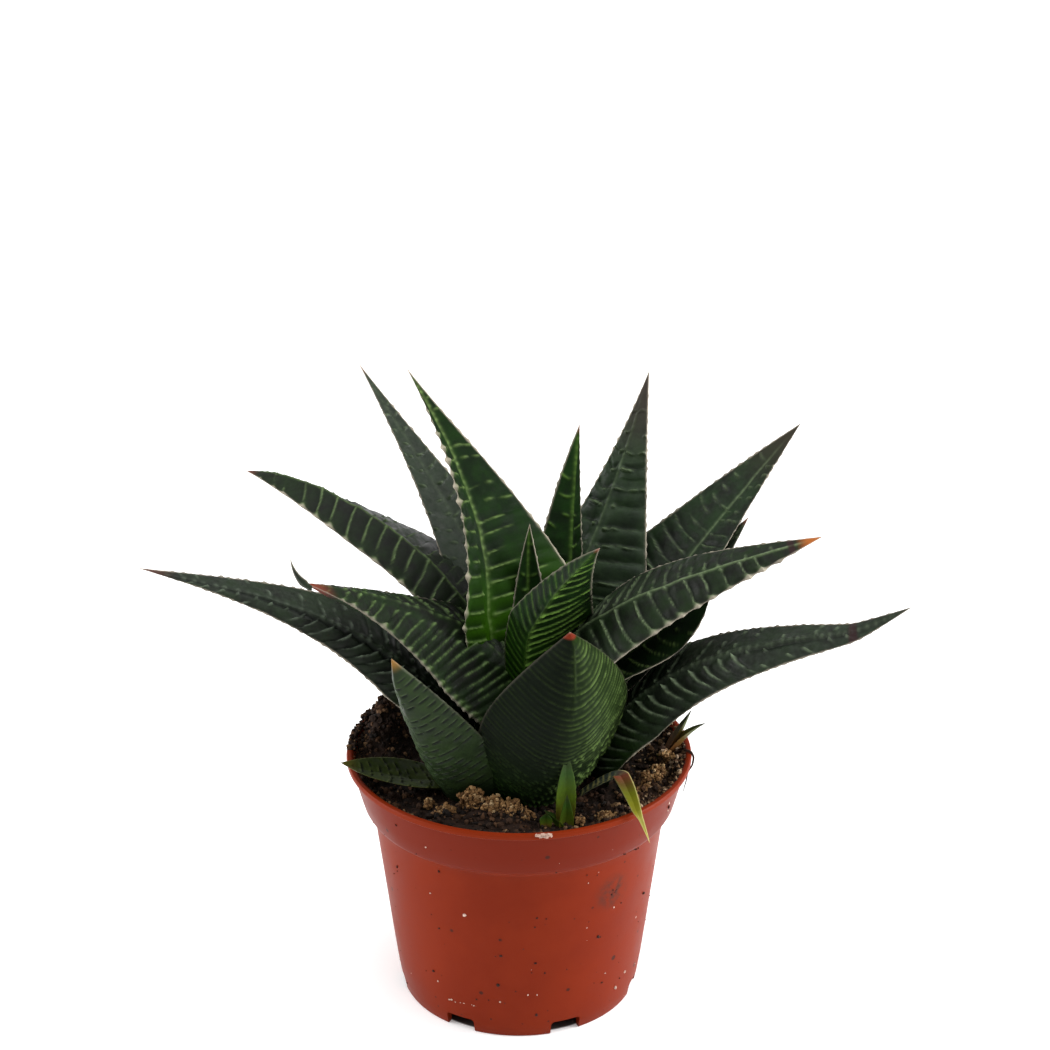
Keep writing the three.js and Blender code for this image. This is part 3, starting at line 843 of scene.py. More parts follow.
@dataclass(frozen=True)
class Relief:
    """The raised pattern on one side of a face.

    pitch is the way between ridges at the foot and widen how fast it grows along the leaf,
    height their height, line the half thickness of a ridge line, saw how far the panel
    behind a ridge rises to it, reach the share of the leaf that is ridged, start and end
    where a ridge lies between the middle and the edge, sweep and bend how it curves towards
    the tip, pale how pale its line is, dots the share of places with a short dash beyond the
    ridges, knobs the height of the bumps in which the ridges end at the edge and uneven how
    much the ridges differ.
    """

    face: Face = Face.LADDER
    pitch: float = 4.2
    widen: float = 0.0
    height: float = 0.65
    line: float = 0.24
    saw: float = 0.6
    reach: float = 0.68
    start: float = 0.14
    end: float = 1.05
    sweep: float = 0.4
    bend: float = 2.0
    pale: float = 1.0
    dots: float = 0.3
    knobs: float = 0.0
    uneven: float = 0.5

    def swept(self, spots: Spots) -> np.ndarray:
        """Millimetres along the leaf, counted along the curve of the ridges."""
        return spots.along - self.sweep * spots.wide * spots.out**self.bend

    def phase(self, spots: Spots, seed: int) -> np.ndarray:
        """Which ridge row each point lies at, as a running number.

        Args:
            spots: The points.
            seed: The side's own number.

        Returns:
            The running number, whole on a row's middle before the row's own small shift.
        """
        wobble = 0.09 * noise_at(spots.along / 6, spots.out * 2.3, 0, seed)
        grown = self.swept(spots)
        if self.widen:
            grown = np.log1p(np.maximum(self.widen * grown, -0.5)) / self.widen
        return grown / self.pitch + wobble * (0.6 + 0.8 * self.uneven)

    @staticmethod
    def past(phase: np.ndarray, row: np.ndarray, seed: int) -> np.ndarray:
        """How far each point lies past a row, in rows."""
        return phase - row - ROW_STRAY * (2 * chance(row, Draw.PLACE, seed) - 1)

    def teeth(self, spots: Spots, seed: int) -> np.ndarray:
        """A tooth at the outer end of each ridge, with hollows between.

        Args:
            spots: The points.
            seed: The side's own number.

        Returns:
            How far each tooth stands out, from 0 to 1.
        """
        phase = self.phase(replace(spots, out=np.ones_like(spots.out)), seed)
        number = np.round(phase).astype(np.int64)
        best = np.full_like(phase, -1.0)
        for step in (-1, 0, 1):
            gap = 2 * np.abs(self.past(phase, number + step, seed))
            best = np.maximum(best, (1 - gap) * (0.6 + 0.6 * chance(number + step, Draw.TOOTH, seed)))
        return np.clip(best, 0, 1) ** 1.5

    def rows(self, spots: Spots, seed: int) -> Rows:
        """Finds the ridge row that each point belongs to.

        Args:
            spots: The points.
            seed: The side's own number.

        Returns:
            The rows.
        """
        phase = self.phase(spots, seed)
        cell = np.floor(phase).astype(np.int64)
        number = cell.copy()
        before, after = np.full_like(phase, -9.0), np.full_like(phase, 9.0)
        for step in (-1, 0, 1, 2):
            past = self.past(phase, cell + step, seed)
            before = np.where((past >= 0) & (past < -before), -past, before)
            after = np.where((past < 0) & (-past < after), -past, after)
            number = np.where(past >= -0.5, cell + step, number)
        pace = self.pitch * (1 + self.widen * np.maximum(self.swept(spots), 0))
        reach = self.reach + 0.24 * self.uneven * (chance(number, Draw.REACH, seed) - 0.5)
        texture = noise_at(spots.along * 0.9, spots.beside() * 0.9, 3.3, seed + 9)
        texture = texture + 0.5 * noise_at(spots.along * 2.3, spots.beside() * 2.3, 6.1, seed + 10)
        begun = smooth_step(-0.01, 0.03, spots.share)
        return Rows(
            number=number,
            cell=cell,
            rising=-before / (after - before),
            away=np.where(-before < after, -before, -after) * pace,
            reach=reach,
            alive=smooth_step(reach + 0.06, reach - 0.06, spots.share) * begun,
            strength=1.05 - self.uneven * chance(number, Draw.STRENGTH, seed),
            texture=texture,
            seed=seed,
        )

    def shape(self, spots: Spots, seed: int) -> np.ndarray:
        """Works out the pattern at each point of this side.

        Args:
            spots: The points.
            seed: The side's own number.

        Returns:
            The height in millimetres, the paleness of the line and the painted shade of the pit,
            stacked.
        """
        if self.face is Face.SMOOTH:
            return np.zeros((3, *spots.along.shape))
        makers = {
            Face.LADDER: self.ridged, Face.SCALES: self.ridged, Face.WAVES: self.waved,
            Face.FINE: self.beaded, Face.DASHES: self.dashed,
        }
        height, pale, pit_shade = makers[self.face](spots, self.rows(spots, seed))
        return np.stack([height * np.clip(spots.wide / 5, 0, 1), pale, pit_shade])

    def ridged(self, spots: Spots, rows: Rows) -> Pattern:
        """Cross ridges, a panel that rises to each, and dashes beyond them.

        Args:
            spots: The points.
            rows: Their ridge rows.

        Returns:
            The height, the paleness and the painted shade.
        """
        out, alive, own = spots.out, rows.alive, rows.number
        begin = self.start * (0.6 + 0.9 * chance(own, Draw.START, rows.seed))
        finish = self.end - self.uneven * 0.7 * chance(own, Draw.END, rows.seed) ** 2
        shown = smooth_step(begin - 0.03, begin + 0.03, out) * smooth_step(finish, finish - 0.15, out)
        firm = np.clip(rows.strength + self.uneven * 0.9 * rows.texture, 0.12, 1.25)
        line = hump(rows.away, self.line) * shown * alive * firm
        dot = hump(rows.away, 0.45) * hump((out - begin) * spots.wide, 0.45)
        dot = dot * alive * chance(own, Draw.DOT, rows.seed)
        puff = rows.rising**1.3 * np.sqrt(np.clip(1.02 - rows.rising, 0, 1)) * 1.9
        slope = self.saw * (puff - 0.4) * smooth_step(0, begin + 0.12, out) * smooth_step(1, 0.8, out) * alive
        knob = self.knobs * hump(rows.away, 0.75) * hump((1 - out) * spots.wide - 0.3, 0.9)
        knob = knob * alive * (0.4 + 0.8 * chance(own, Draw.TOOTH, rows.seed))
        dash = self.dashes(spots, rows)
        height = self.height * (line + 1.1 * dot + 0.8 * dash) + slope + knob
        paint = np.maximum(np.clip(line + 1.2 * dot, 0, 1), 0.75 * dash) * self.pale
        paint = np.maximum(paint, np.clip(0.7 * knob, 0, 0.45))
        # Painted shade on the tip side of each ridge, fading along the panel to the next.
        return height, paint, 0.9 * (1 - rows.rising) ** 2 * shown * alive * (1 - line)

    def dashes(self, spots: Spots, rows: Rows) -> np.ndarray:
        """Short raised cross dashes past where the ridges end.

        Args:
            spots: The points.
            rows: Their ridge rows.

        Returns:
            How much of a dash each point has, from 0 to 1.
        """
        place = spots.beside() / DASH_PACE
        cell = np.floor(place).astype(np.int64)
        middle = 0.5 + 0.5 * (rows.drawn(cell, 6) - 0.5)
        mark = hump((place - cell - middle) * DASH_PACE, 0.45 + 0.7 * rows.drawn(cell, 8))
        mark = mark * hump(rows.away, 0.34) * (rows.drawn(cell, 7) < self.dots)
        past = smooth_step(rows.reach - 0.05, rows.reach + 0.05, spots.share)
        return mark * past * smooth_step(0.985, 0.85, spots.share) * smooth_step(1.0, 0.85, spots.out)

    def waved(self, spots: Spots, rows: Rows) -> Pattern:
        """Rounded waves with a broken pale line near each crest.

        Args:
            spots: The points.
            rows: Their ridge rows.

        Returns:
            The height, the paleness and the painted shade.
        """
        shown = smooth_step(0.0, self.start, spots.out) * rows.alive
        crest = 0.5 - 0.5 * np.cos(2 * math.pi * np.clip(rows.rising**0.75, 0, 1))
        broken = smooth_step(-0.45, 0.2, rows.texture + 0.25)
        line = hump(rows.rising - CREST_PLACE, 0.5 * self.line / self.pitch + 0.07)
        line = line * rows.strength * broken * shown
        # Painted shade in the trough at each row.
        pit_shade = hump(rows.rising - 0.08, 0.14) + hump(rows.rising - 1.08, 0.14)
        return self.height * (crest - 0.4) * shown, line * self.pale, 0.7 * pit_shade * shown

    def beaded(self, spots: Spots, rows: Rows) -> Pattern:
        """Fine close ridges that break up into beads low down.

        Args:
            spots: The points.
            rows: Their ridge rows.

        Returns:
            The height, the paleness and the painted shade.
        """
        low = smooth_step(0.6, 0.32, spots.share)
        place = spots.beside() / BEAD_PACE + 0.5 * (rows.number % 2)
        cell = np.floor(place).astype(np.int64)
        bead = 1.9 * hump(place - cell - 0.5, 0.3) * (rows.drawn(cell, 5) < 0.62)
        whole = np.clip(0.75 + 0.75 * rows.texture, 0.1, 1.2)
        line = hump(rows.away, self.line) * ((1 - low) * whole + low * bead) * rows.strength * rows.alive
        # Painted shade between the fine ridges.
        return self.height * line, np.clip(line, 0, 1) * self.pale, 0.5 * (1 - line) * rows.alive

    def dashed(self, spots: Spots, rows: Rows) -> Pattern:
        """Small bumps with a painted shadow under each, seen as a dark dash.

        Args:
            spots: The points.
            rows: Their ridge rows.

        Returns:
            The height, the paleness and the painted shade.
        """
        rows = replace(rows, number=rows.cell)
        place = spots.beside() / BUMP_PACE + 0.5 * (rows.cell % 2)
        cell = np.floor(place).astype(np.int64)
        inside = (place - cell - 0.4 - 0.2 * rows.drawn(cell, 6)) * BUMP_PACE
        there = np.exp(-((inside / (0.6 + 0.4 * rows.drawn(cell, 8))) ** 4))
        there = there * (rows.drawn(cell, 7) < self.dots)
        there = there * smooth_step(0.95, 0.85, spots.share) * smooth_step(0.14, 0.34, spots.share)
        below = (rows.rising - DASH_PLACE) * self.pitch
        # A dent under each bump, with a painted shadow in it.
        pit_shade = hump(below, 0.3) * there
        lip = hump(below - 0.5, 0.2) * there
        return self.height * lip - 0.5 * pit_shade, lip * self.pale, np.clip(2.4 * pit_shade, 0, 1)


@dataclass(frozen=True)
class Spine:
    """The line along the middle of a face: its height, half thickness and paleness.

    beads is the share of it that is broken up into separate dots, pitch the way between
    them and start the share of the leaf's length where it begins.
    """

    height: float = 0.25
    line: float = 0.4
    pale: float = 0.45
    beads: float = 0.5
    pitch: float = 2.1
    start: float = 0.0

    def shape(self, spots: Spots, seed: int) -> tuple[np.ndarray, np.ndarray]:
        """Works out the line at each point.

        Args:
            spots: The points.
            seed: The leaf's own number.

        Returns:
            Its height in millimetres and its paleness.
        """
        place = spots.along / self.pitch
        number = np.round(place).astype(np.int64)
        shift = 0.6 * (chance(number, Draw.BEAD_PLACE, seed) - 0.5)
        bead = hump(place - number - shift, 0.22) * (0.4 + 0.9 * chance(number, Draw.BEAD_SIZE, seed))
        whole = 1 - self.beads + self.beads * bead
        line = hump(spots.beside(), self.line) * whole * smooth_step(1.0, 0.9, spots.share)
        line = line * smooth_step(self.start - 0.12, self.start, spots.share)
        return self.height * line * np.clip(spots.wide / 4, 0, 1), np.clip(line, 0, 1) * self.pale


Sides = tuple[Relief, Relief]
PLAIN = Relief(Face.SMOOTH)
PLAIN_SIDES = (PLAIN, PLAIN)
NO_SPINE = Spine(0.0, pale=0.0)


@dataclass(frozen=True)
class Margin:
    """A leaf's toothed edge: how often, how long and how pale the teeth are.

    line is the width in millimetres that the edge takes from the face.
    """

    pitch: float = 2.3
    length: float = 0.28
    pale: float = 1.0
    line: float = 0.3


@dataclass(frozen=True)
class Corners:
    """The corners of a leaf's rings.

    spots is where they lie and across runs from 1 at one edge to -1 at the other. is_back
    tells which columns belong to the back, and is_edge which corners lie on an edge.
    """

    spots: Spots
    across: np.ndarray
    is_back: np.ndarray
    is_edge: np.ndarray


TIP_SHARE = 0.994
SIDE_STEP = 31
PAINTED_EDGE = 0.17
CREASE_WIDTH = 0.9
CREASE_DEPTH = 0.55


@dataclass(frozen=True)
class LeafShape:
    """One leaf's centreline and section, with the pattern of its two faces.

    heading and rise are the centreline's direction at the foot, the middle and the tip, and
    roll its turn about itself at the foot and the tip. fold is the height of the edges,
    crest the height of the upper face's middle, keel the sideways place of that middle and
    belly the depth of the back, all as shares of the half width, and core is added to that
    depth; back_soft rounds off the back's middle. crease is where a groove runs along the
    upper face, with painted shade in it: its place across and the share where it starts.
    bends are sharp turns: where, and by how much heading and rise. foot is the width at the
    foot as a share of the widest and sink how far the foot goes into what it grows from. Each
    face is patterned on its left and right side apart, seen from above with the tip ahead.
    step is the way between rings and columns how many corners a ring has over each face.
    """

    name: str
    base: Triple
    heading: Triple
    rise: Triple
    roll: tuple[float, float]
    length: float
    half_width: float
    widest: float = 0.3
    taper: float = 0.0
    fold: float = 0.15
    keel: float = 0.0
    crest: float = 0.0
    belly: float = 0.28
    round_back: float = 0.5
    back_soft: float = 0.0
    back_keel: float = 0.0
    core: float = 1.2
    crease: tuple[float, float] | None = None
    bends: tuple[Triple, ...] = ()
    foot: float = 0.75
    sink: float = 3.0
    upper: Sides = (Relief(), Relief())
    back: Sides = PLAIN_SIDES
    spine: Spine = Spine()
    back_spine: Spine = NO_SPINE
    margin: Margin = Margin()
    step: float = 0.28
    columns: tuple[int, int] = (40, 18)
    finish: str = "leaf"

    def frames(self, share: np.ndarray) -> tuple[np.ndarray, np.ndarray, np.ndarray]:
        """The leaf's own directions.

        Args:
            share: Shares of the length.

        Returns:
            The directions along the leaf, out of its upper face and sideways, at each share.
        """
        back = 1 - share
        turns = [
            back * back * angles[0] + 2 * share * back * angles[1] + share * share * angles[2]
            for angles in (self.heading, self.rise)
        ]
        for at, heading, rise in self.bends:
            done = smooth_step(at - 0.04, at + 0.04, share)
            turns = [turns[0] + heading * done, turns[1] + rise * done]
        heading, rise = np.radians(turns)
        roll = np.radians(self.roll[0] * back + self.roll[1] * share)[:, None]
        none = np.zeros_like(share)
        flat = np.stack([np.cos(heading), np.sin(heading), none], -1)
        up = np.array([0.0, 0.0, 1.0])
        along = flat * np.cos(rise)[:, None] + up * np.sin(rise)[:, None]
        level = up * np.cos(rise)[:, None] - flat * np.sin(rise)[:, None]
        beside = np.cross(along, level)
        normal = level * np.cos(roll) + beside * np.sin(roll)
        side = beside * np.cos(roll) - level * np.sin(roll)
        return along, normal, side

    def widths(self, share: np.ndarray) -> np.ndarray:
        """The leaf's half widths.

        Args:
            share: Shares of the length.

        Returns:
            The half width at each share.
        """
        swell = np.sin(np.clip(share / self.widest, 0, 1) * math.pi / 2)
        inner = self.foot + (1 - self.foot) * swell
        done = np.clip((share - self.widest) / (1 - self.widest), 0, 1)
        outer = (1 - done) * (1 + self.taper * done)
        return self.half_width * np.where(share < self.widest, inner, outer)

    def centres(self, share: np.ndarray) -> np.ndarray:
        """The centreline's points.

        Args:
            share: Shares of the length.

        Returns:
            The point at each share, in millimetres.
        """
        steps = 384
        middles = (np.arange(steps) + 0.5) / steps
        along, _, _ = self.frames(middles)
        line = np.vstack([np.zeros(3), np.cumsum(along, 0)]) * (self.length / steps)
        places = np.arange(steps + 1) / steps
        points = np.stack([np.interp(share, places, line[:, axis]) for axis in range(3)], -1)
        return points + np.array(self.base)

    def corners(self, share: np.ndarray) -> Corners:
        """Places each ring's corners across the leaf, closest where the detail is.

        Args:
            share: The share of the length at which each ring lies.

        Returns:
            The corners, over the upper face from one edge to the other and back again over
            the back.
        """
        wide = self.widths(share)[:, None]
        strip = 1 - np.minimum(self.margin.line / wide, 0.2)
        rows = []
        for count in self.columns:
            steps = np.interp(np.linspace(0, 1, count // 2), (0, 0.42, 0.84, 1), (0, 0.3, 0.9, 1))
            rows.append(strip * np.concatenate([steps[::-1], -steps[1:]]))
        edge = np.ones_like(wide)
        across = np.concatenate([edge, rows[0], -edge, rows[1][:, ::-1]], 1)
        is_back = np.arange(across.shape[1]) > rows[0].shape[1] + 1
        wide, share = (np.broadcast_to(values, across.shape) for values in (wide, share[:, None]))
        out = np.abs(across)
        return Corners(Spots(share * self.length, out, wide, share), across, is_back, out > 0.9999)

    def teeth(self, corners: Corners, seed: int) -> np.ndarray:
        """How far each tooth of the edge stands out.

        Args:
            corners: The corners.
            seed: The leaf's own number.

        Returns:
            A share of the longest tooth for each corner.
        """
        spots = corners.spots
        side = (corners.across < 0).astype(int)
        turn = spots.along / self.margin.pitch + 0.5 * side
        number = np.round(turn).astype(np.int64)
        gap = np.abs(turn - number - 0.3 * (chance(number, side, seed + 11) - 0.5)) * 2
        tooth = np.clip(1 - gap, 0, 1) ** 1.6 * (0.25 + chance(number, side, seed + 12))
        for which, relief in enumerate(self.upper):
            if relief.knobs:
                grown = smooth_step(0.97, 0.85, spots.share) * relief.teeth(spots, seed + SIDE_STEP * which)
                grown = grown * 0.85 * relief.knobs / self.margin.length
                tooth = np.where(side == which, np.maximum(grown, 0.35 * tooth), tooth)
        ends = smooth_step(0.0, 0.06, spots.share) * smooth_step(1.0, 0.93, spots.share)
        return tooth * np.clip(spots.wide / 3, 0, 1) * ends

    def pattern(self, corners: Corners, seed: int) -> Pattern:
        """The raised pattern of both faces, with their spines and the crease.

        Args:
            corners: The corners.
            seed: The leaf's own number.

        Returns:
            How far each corner rises in millimetres, how pale it is and how much painted shade it has.
        """
        spots, across, is_back = corners.spots, corners.across, corners.is_back
        faces = []
        for first, pair in ((0, self.upper), (2, self.back)):
            alike = pair[0].face is pair[1].face and pair[0].face in (Face.FINE, Face.DASHES)
            seeds = seed + SIDE_STEP * first, seed + SIDE_STEP * (first + (not alike))
            plus, minus = (relief.shape(spots, own) for relief, own in zip(pair, seeds))
            blend = smooth_step(-0.45, 0.3, across) if alike else across > 0
            faces.append(plus * blend + minus * (1 - blend))
        rise, paint, pit_shade = np.where(is_back, faces[1], faces[0])
        spines = (spine.shape(spots, seed + 5) for spine in (self.back_spine, self.spine))
        lift, line = np.where(is_back, *spines)
        inside = ~corners.is_edge
        rise = rise * smooth_step(1.0, 0.93, spots.out) * inside + lift
        rise = rise * smooth_step(1.0, 0.96, spots.share)
        if self.crease is not None:
            middle, start = self.crease
            drift = 0.06 * noise_at(spots.along / 9, 0, 0, seed + 23)
            groove = hump((across - middle - drift) * spots.wide, CREASE_WIDTH) * (~is_back)
            groove *= smooth_step(0.98, 0.9, spots.share) * smooth_step(start - 0.1, start, spots.share)
            rise = rise - CREASE_DEPTH * groove
            # Painted shade along the crease's groove.
            pit_shade = np.maximum(pit_shade, groove)
            paint = paint * (1 - groove)
        return rise, np.maximum(paint * inside, line), pit_shade * inside

    def thickness(self, wide: np.ndarray) -> np.ndarray:
        """How deep the leaf is in the middle, at each half width."""
        return self.core * np.clip(wide / 3, 0, 1) + self.belly * wide

    def section(self, corners: Corners, rise: np.ndarray, tooth: np.ndarray, seed: int) -> np.ndarray:
        """Where each corner lies in its own ring.

        Args:
            corners: The corners.
            rise: How far the pattern lifts each one.
            tooth: How far each tooth stands out.
            seed: The leaf's own number.

        Returns:
            Millimetres sideways, out of the upper face and along the leaf, stacked.
        """
        spots, across, is_back = corners.spots, corners.across, corners.is_back
        out, wide, soft = spots.out, spots.wide, self.back_soft
        edge_height = self.fold * wide
        crest = np.clip(1 - np.sqrt(out**2 + 0.0006) + 0.0245, 0, 1)
        top = edge_height * out + self.crest * wide * crest + 0.08 * wide * out * (1 - out)
        depth = self.thickness(wide) * (1 - out) * (1 + (4 * self.round_back - 2) * out)
        soft_out = (np.sqrt(out**2 + soft**2) - soft) / (math.hypot(1, soft) - soft)
        under = edge_height * soft_out - depth
        layer = np.where(is_back, 9.0, 0.0)
        uneven = 0.22 * noise_at(spots.along / 4, across * wide / 4, layer, seed + 20)
        uneven = uneven + 0.07 * noise_at(spots.along / 1.2, across * wide / 1.2, layer, seed + 21)
        height = np.where(is_back, under - rise, top + rise) + uneven * np.clip(wide / 6, 0, 1)
        reach = np.where(corners.is_edge, self.margin.length * tooth, 0)
        height = np.where(corners.is_edge, edge_height + 0.3 * reach, height)
        middle = np.where(is_back, self.back_keel, self.keel) * wide * (1 - out)
        return np.stack([across * wide + middle + reach * np.sign(across), height, 0.4 * reach])

    def build(self, plant: PlantFrame, seed: int) -> bpy.types.Object:
        """Makes the leaf's mesh, with its marks for the material.

        Args:
            plant: Where the plant stands.
            seed: The leaf's own number.

        Returns:
            The leaf.
        """
        rings = max(12, round(self.length / self.step))
        share = np.concatenate([[0.0], np.linspace(0, TIP_SHARE, rings)])
        corners = self.corners(share)
        spots = corners.spots
        rise, paint, pit_shade = self.pattern(corners, seed)
        tooth = self.teeth(corners, seed)
        along, normal, side = self.frames(share)
        centre = self.centres(share)
        centre[0] -= along[0] * self.sink
        points = np.repeat(centre[:, None], spots.out.shape[1], 1)
        for way, offset in zip((side, normal, along), self.section(corners, rise, tooth, seed)):
            points += way[:, None] * offset[..., None]
        foot = centre[0] - along[0] * 0.6 - normal[0] * self.thickness(spots.wide[0, 0]) * 0.4
        tip = self.centres(np.array([1.0]))
        piece = ringed("grown_" + self.name, plant.metres(points), plant.metres(tip), plant.metres(foot))
        from_edge = (1 - spots.out) * spots.wide
        strip = np.maximum(hump(from_edge, PAINTED_EDGE), 0.5 * tooth * np.clip(1 - from_edge / 0.5, 0, 1))
        margin = np.where(corners.is_edge, 1.0, strip) * self.margin.pale
        margin = margin * smooth_step(-0.01, 0.05, spots.share)
        # The marks are the ridges' paleness, the margin and the painted shade.
        marks = np.stack([paint, margin, pit_shade], -1)
        place = np.stack([spots.share, 0.5 + 0.5 * corners.across, 0 * spots.share], -1)
        write_colours(piece, "marks", np.vstack([marks.reshape(-1, 3), [[0, 0.5, 0], [0, 0, 0]]]))
        write_colours(piece, "place", np.vstack([place.reshape(-1, 3), [[1, 0.5, 0], [0, 0.5, 0]]]))
        return piece


SPARSE = Relief(reach=0.46, dots=0.55, pale=0.6, height=0.8, saw=0.7, uneven=0.9)
FEW = Relief(reach=0.66, dots=0.45, pale=0.6, height=0.8, saw=0.8, uneven=0.8)
BUMPY = Relief(reach=0.32, dots=0.85, pale=0.4, height=1.0, saw=0.7, uneven=0.9)
EMBOSSED = Relief(
    pitch=4.0, widen=0.004, height=2.1, line=0.38, saw=1.7, reach=0.72, end=0.9, sweep=0.2, pale=0.45,
    dots=0.8, uneven=1.3,
)
SMOOTHER = Relief(pitch=3.8, height=1.2, saw=1.2, reach=0.56, sweep=0.35, pale=0.5, dots=0.7, uneven=0.9)
NEAR_LADDER = Relief(
    pitch=3.8, widen=0.003, height=0.9, line=0.19, saw=1.4, reach=0.78, start=0.1, sweep=0.2, bend=2.4,
    pale=0.8, knobs=1.0, uneven=0.7,
)
STEEP_LADDER = Relief(
    pitch=4.3, widen=0.002, height=0.9, line=0.2, saw=1.0, reach=0.8, start=0.06, sweep=-0.22, bend=1.5,
    pale=0.75, knobs=1.0,
)
FAR_LADDER = Relief(
    pitch=3.3, height=0.7, line=0.18, saw=0.9, start=0.1, sweep=0.12, pale=0.45, uneven=0.9
)
LOOSE_LADDER = Relief(
    pitch=3.8, line=0.2, saw=0.7, reach=0.46, start=0.06, sweep=-0.05, pale=0.75, dots=0.5, uneven=1.2
)
EDGE_LADDER = Relief(pitch=3.6, reach=0.8, start=0.3, sweep=0.1, pale=0.6, knobs=1.3, uneven=0.8)
SCALES = Relief(
    Face.SCALES, pitch=3.9, height=1.25, line=0.36, saw=1.5, reach=0.56, end=0.92, sweep=0.8, pale=0.95,
    dots=0.7, uneven=0.45,
)
SLANTED = Relief(
    Face.SCALES, pitch=2.2, widen=0.014, height=0.6, saw=1.2, reach=0.86, start=0.2, end=0.98, sweep=0.9,
    bend=1.15, pale=0.7, dots=0.5, knobs=1.0, uneven=0.75,
)
CLOSE_BRIGHT = Relief(
    Face.SCALES, pitch=1.8, widen=0.012, height=0.45, line=0.2, saw=0.45, reach=0.92, start=0.02, sweep=0.42,
    bend=1.8,
)
CLOSE_GREY = Relief(
    Face.WAVES,
    pitch=2.2,
    height=0.6,
    line=0.2,
    reach=0.9,
    start=0.3,
    sweep=0.3,
    bend=1.4,
    pale=0.3,
    uneven=0.8
)
# One fine relief in two copies: the pale copy is painted light on the lit half of a leaf's back, the dull
# copy painted shade on the other half.
FINE_PAINTED_SHADE = Relief(
    Face.FINE, pitch=1.3, height=0.5, line=0.25, reach=0.98, sweep=0.42, bend=1.8, pale=0.08, uneven=0.7
)
FINE_PAINTED_LIGHT = replace(FINE_PAINTED_SHADE, line=0.24, pale=0.85)
DASHED = Relief(Face.DASHES, pitch=2.2, height=0.25, sweep=0.3, bend=1.8, pale=0.2, dots=0.75)
STUDDED = Relief(Face.DASHES, pitch=2.4, height=0.3, sweep=0.3, bend=1.8, pale=0.5, dots=0.8)
WITHERED = Relief(
    pitch=1.5, height=0.25, line=0.2, saw=0.2, reach=0.3, start=0.0, sweep=0.1, dots=0.0, uneven=0.2
)
HIDDEN_BACK = Relief(
    Face.WAVES, pitch=3.4, height=0.5, reach=0.75, start=0.1, sweep=0.35, bend=1.5, pale=0.35
)
BACKS = (HIDDEN_BACK, HIDDEN_BACK)


